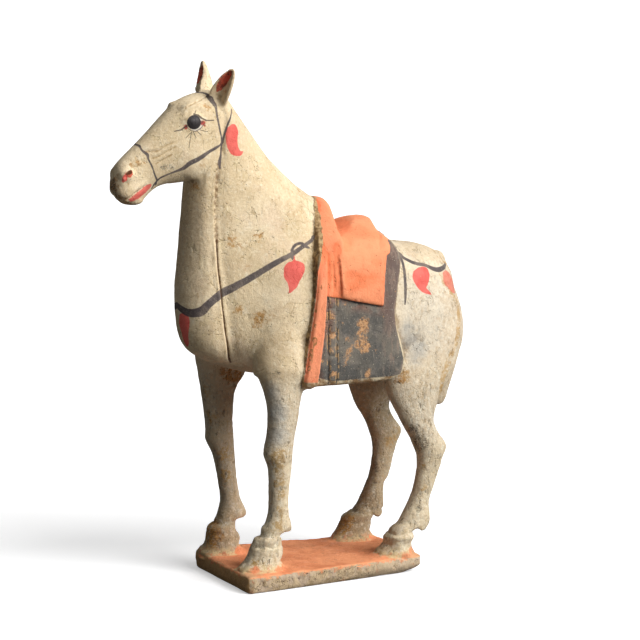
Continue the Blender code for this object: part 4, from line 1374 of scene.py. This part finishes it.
def short_stroke(start, end, half_width):
    """1 on a short straight stroke near the eye."""
    run = (end[0] - start[0], end[1] - start[1], 0)
    size = run[0] ** 2 + run[1] ** 2
    offset = vector("SUBTRACT", eye_place, (*start, 0))
    dot = add("VectorMath", {0: offset, 1: tuple(v / size for v in run)}, operation="DOT_PRODUCT")
    share = maths("MULTIPLY", dot.outputs["Value"], 1, clamp=True)
    foot = add("VectorMath", {0: run, "Scale": share}, operation="SCALE").outputs[0]
    gap = add("VectorMath", {0: offset, 1: foot}, operation="DISTANCE").outputs["Value"]
    return step(gap, half_width + 0.25, half_width - 0.15)


lashes = most(*[short_stroke(*stroke) for stroke in EYE_LINES])
iris = times(step(how_far((0.3, -0.2), (4.75, 4.45)), 1.04, 0.94), on_cheek)
clear_of_corner = step(how_far((-6, 0)), 4, 5)
ball = times(step(how_far((1.5, -1.1), (4.9, 4.5)), 1.04, 0.96), clear_of_corner)
corners = most(step(how_far((-4.9, -3), (1.2, 1.7)), 1.2, 0.6),
               step(how_far((6.2, -0.9), (2.1, 1.5)), 1.3, 0.6),
               step(how_far((7.4, -2.6), (0.8, 0.8)), 1.3, 0.4))
# glint: a lighter patch in the iris, a painted highlight
glint = step(how_far((1.2, 1), (3.6, 3)), 1, 0.2)
coat = layers(
    coat,
    (tone(220, 208, 190), times(ball, on_cheek)),
    (blend(tone(190, 60, 54), tone(128, 50, 44), step(fine, 0.42, 0.58)), times(corners, on_cheek, 0.92)),
    (tone(74, 66, 62), times(lashes, on_cheek, 0.85)),
    (blend(tone(50, 46, 46), tone(92, 87, 87), times(glint, step(fine, 0.3, 0.7))), iris))
print("eye drawn with", len(EYE_LINES), "strokes")

# %% [markdown]
# ## The slab
# The slab's top carries the same orange as the saddle, thinner and more brushed, and running a
# little over the edge; its sides are bare grey-brown clay with earth in the cracks, hollows darkened
# as dirt and painted shade, and the face turned to the front painted lighter, as painted light on a
# face the lamp leaves in shade.  Some of the orange was smeared onto the hooves.

# %% Slab finish
slab_on = step(plus(up_z, times(wander, 1.6)), SLAB_TOP + 2, SLAB_TOP + 1)
slab_top = layers(
    blend(tone(240, 158, 112), tone(224, 138, 94), patches(20, 4, 0.6, 2, 0.4, 0.62)),
    (tone(230, 160, 128), patches(7, 5, 0.6, 5.5, 0.55, 0.7, 0.5)),
    (tone(176, 112, 80), times(step(smudge, 0.58, 0.68), 0.6)),
    (tone(206, 172, 130), times(ragged("worn_corner", 9, -1, 1.5), 0.6)))
cracks = maths("ABSOLUTE", minus(noise(9, 3, 0.6, 19, (1, 1, 1.4)), 0.5))
worn_edge = times(step(up_z, SLAB_TOP - 1.8, SLAB_TOP - 0.4), step(smudge, 0.44, 0.54))
slab_side = layers(
    blend(tone(194, 170, 136), tone(160, 136, 102), step(smudge, 0.44, 0.62)),
    (tone(198, 140, 104), patches(9, 4, 0.6, 7, 0.54, 0.66, 0.8)),
    (tone(76, 58, 42), times(step(cracks, 0.013, 0.004), step(patchy, 0.4, 0.5), 0.9)),
    (tone(190, 168, 146), times(patches(8, 4, 0.6, 23, 0.5, 0.62), 0.7)),
    (tone(96, 76, 56), times(dots(2.8, 7.4, 0.18, 0.09), step(smudge, 0.5, 0.58), 0.8)),
    # painted shade and dirt in the slab's hollows
    (tone(90, 70, 56), times(dirt_and_shade_in_hollows, 0.9)),
    # painted light: the face turned to the front is lighter and warmer
    (tone(206, 160, 104), step(normal_y, -0.5, -0.8, 0, 0.8)),
    (tone(212, 190, 162), times(step(along_y, 0, 50), step(smudge, 0.36, 0.52), 0.65)),
    (tone(206, 168, 118), times(worn_edge, 0.7)))
over_edge = step(plus(up_z, times(minus(smudge, 0.5), 22)), 9.4, 11.4)
upward = step(plus(normal_z, times(wander, 0.25)), 0.4, 0.65)
upward = times(most(upward, times(over_edge, 0.8)), step(normal_z, -0.4, -0.2))
smear = times(step(up_z, 17.5, 12.5), step(up_z, 10.2, 11.2), step(normal_z, 0.97, 0.85))
orange_foot = times(ragged("smeared", 7, -0.5, 1.2), step(up_z, 18, 15), step(up_z, 9, 10.5))
coat = layers(
    coat,
    (blend(slab_side, slab_top, upward), slab_on),
    (tone(216, 190, 142), times(smear, step(fine, 0.36, 0.52, 0.1, 0.9))),
    (tone(206, 128, 92), times(smear, step(smudge, 0.52, 0.62, 0, 0.8))),
    (slab_top, orange_foot))
print("slab painted:", len(recipe.nodes), "nodes")

# %% [markdown]
# ## Surface: matte, chalky, pitted
# Unglazed slip has almost no shine.  Paint is a little smoother.  The fine relief that a mesh of
# this size can't carry is a bump: brush marks, grit and pits.

# %% Roughness and bump
SHINE = 0.25
BUMP_STRENGTH = 0.9
BUMP_DEPTH = 0.7 * MM

pits = times(dots(3.4, 3.3, 0.2, 0.1), step(patchy, 0.5, 0.62))
relief = plus(times(fine, 0.8), times(gritty, 0.3))
relief = minus(relief, plus(times(pits, 0.8), times(specks, 0.5)))
relief = minus(relief, plus(times(crackle, 0.5), times(hair, 0.5)))
legs_only = times(legs, step(up_z, 10, 13))
relief = plus(relief, times(smudge, step(legs_only, 0, 1, 0.6, 2)))
bump = add("Bump", {"Height": relief, "Strength": BUMP_STRENGTH, "Distance": BUMP_DEPTH})
join(shader.inputs["Base Color"], coat)
join(shader.inputs["Roughness"], minus(step(fine, 0.25, 0.75, 0.78, 0.96), times(iris, 0.3)))
join(shader.inputs["Normal"], bump.outputs[0])
join(shader.inputs["Specular IOR Level"], SHINE)
horse.data.materials.clear()
horse.data.materials.append(finish)
print(len(recipe.nodes), "nodes in", finish.name)

# %% [markdown]
# ## The piece takes the solid's place
# The dressed skin and the imported solid are the same fired piece, so one stands for the other.  It
# rides on the root body, because nothing on the horse moves, and the solid is hidden from the
# picture.

# %% Put the piece on the root body and hide the solid
horse.name = horse.data.name = "painted_horse"
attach(horse, "root")
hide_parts("pottery_horse")
print(horse.name, "stands for the packed solid")

# %% [markdown]
# ## Studio
# A pale floor and soft light: one broad lamp at the horse's left rear, a weak one overhead, and a
# dim surround that only fills the shadows.  The floor is large, so that its end is never seen, and
# it throws less light back than it shows, so that the horse's shaded side stays dark.  Each pair
# of numbers is for light that goes on into the room, and for light that reaches the camera.

# %% Floor
FLOOR_HALF = 30
FLOOR_GAP = 0.0002
FLOOR_COLOUR = (0.15, 0.9)
FLOOR_GLOW = (0, 0.42)
WHITE = (1, 1, 1, 1)


def by_ray(tree, unseen, seen):
    """One value for light that reaches the camera, another for light that goes on."""
    path = tree.nodes.new("ShaderNodeLightPath")
    choice = tree.nodes.new("ShaderNodeMapRange")
    choice.inputs["To Min"].default_value = unseen
    choice.inputs["To Max"].default_value = seen
    tree.links.new(path.outputs["Is Camera Ray"], choice.inputs["Value"])
    return choice.outputs[0]


pale = bpy.data.materials.new("pale_floor")
pale.use_nodes = True
tree = pale.node_tree
pale_shader = tree.nodes["Principled BSDF"]
pale_shader.inputs["Roughness"].default_value = 0.9
pale_shader.inputs["Specular IOR Level"].default_value = 0
pale_shader.inputs["Emission Color"].default_value = WHITE
tree.links.new(by_ray(tree, *FLOOR_COLOUR), pale_shader.inputs["Base Color"])
tree.links.new(by_ray(tree, *FLOOR_GLOW), pale_shader.inputs["Emission Strength"])
floor_mesh = bpy.data.meshes.new("floor")
square = ((-1, -1), (1, -1), (1, 1), (-1, 1))
ends = [(sx * FLOOR_HALF, sy * FLOOR_HALF, low[2] - FLOOR_GAP) for sx, sy in square]
floor_mesh.from_pydata(ends, [], [(0, 1, 2, 3)])
floor_mesh.materials.append(pale)
floor = bpy.data.objects.new("floor", floor_mesh)
bpy.context.scene.collection.objects.link(floor)
print("floor", 2 * FLOOR_HALF, "m wide")

# %% [markdown]
# ## Lamps and surround
# Broad lamps give soft shadows.  The surround looks white but lights the horse only weakly, so
# that the lamp decides where light and shade fall.

# %% Lights and surround
SURROUND_GLOW = (0.07, 1)


def soft_sun(name, towards, strength, width):
    """A far lamp; width is how broad it looks, in degrees, and sets how soft its shadows are."""
    lamp = bpy.data.lights.new(name, "SUN")
    lamp.energy = strength
    lamp.angle = math.radians(width)
    shown = bpy.data.objects.new(name, lamp)
    shown.rotation_euler = Vector(towards).to_track_quat("Z", "Y").to_euler()
    bpy.context.scene.collection.objects.link(shown)


soft_sun("key", (0.79, 0.50, 0.65), 4.3, 46)
soft_sun("overhead", (0.25, 0, 1), 0.4, 70)
world = bpy.data.worlds.new("surround")
bpy.context.scene.world = world
world.use_nodes = True
surround = world.node_tree.nodes["Background"]
surround.inputs["Color"].default_value = WHITE
world.node_tree.links.new(by_ray(world.node_tree, *SURROUND_GLOW), surround.inputs["Strength"])
bpy.context.scene.view_settings.view_transform = "Standard"
print("studio lit")
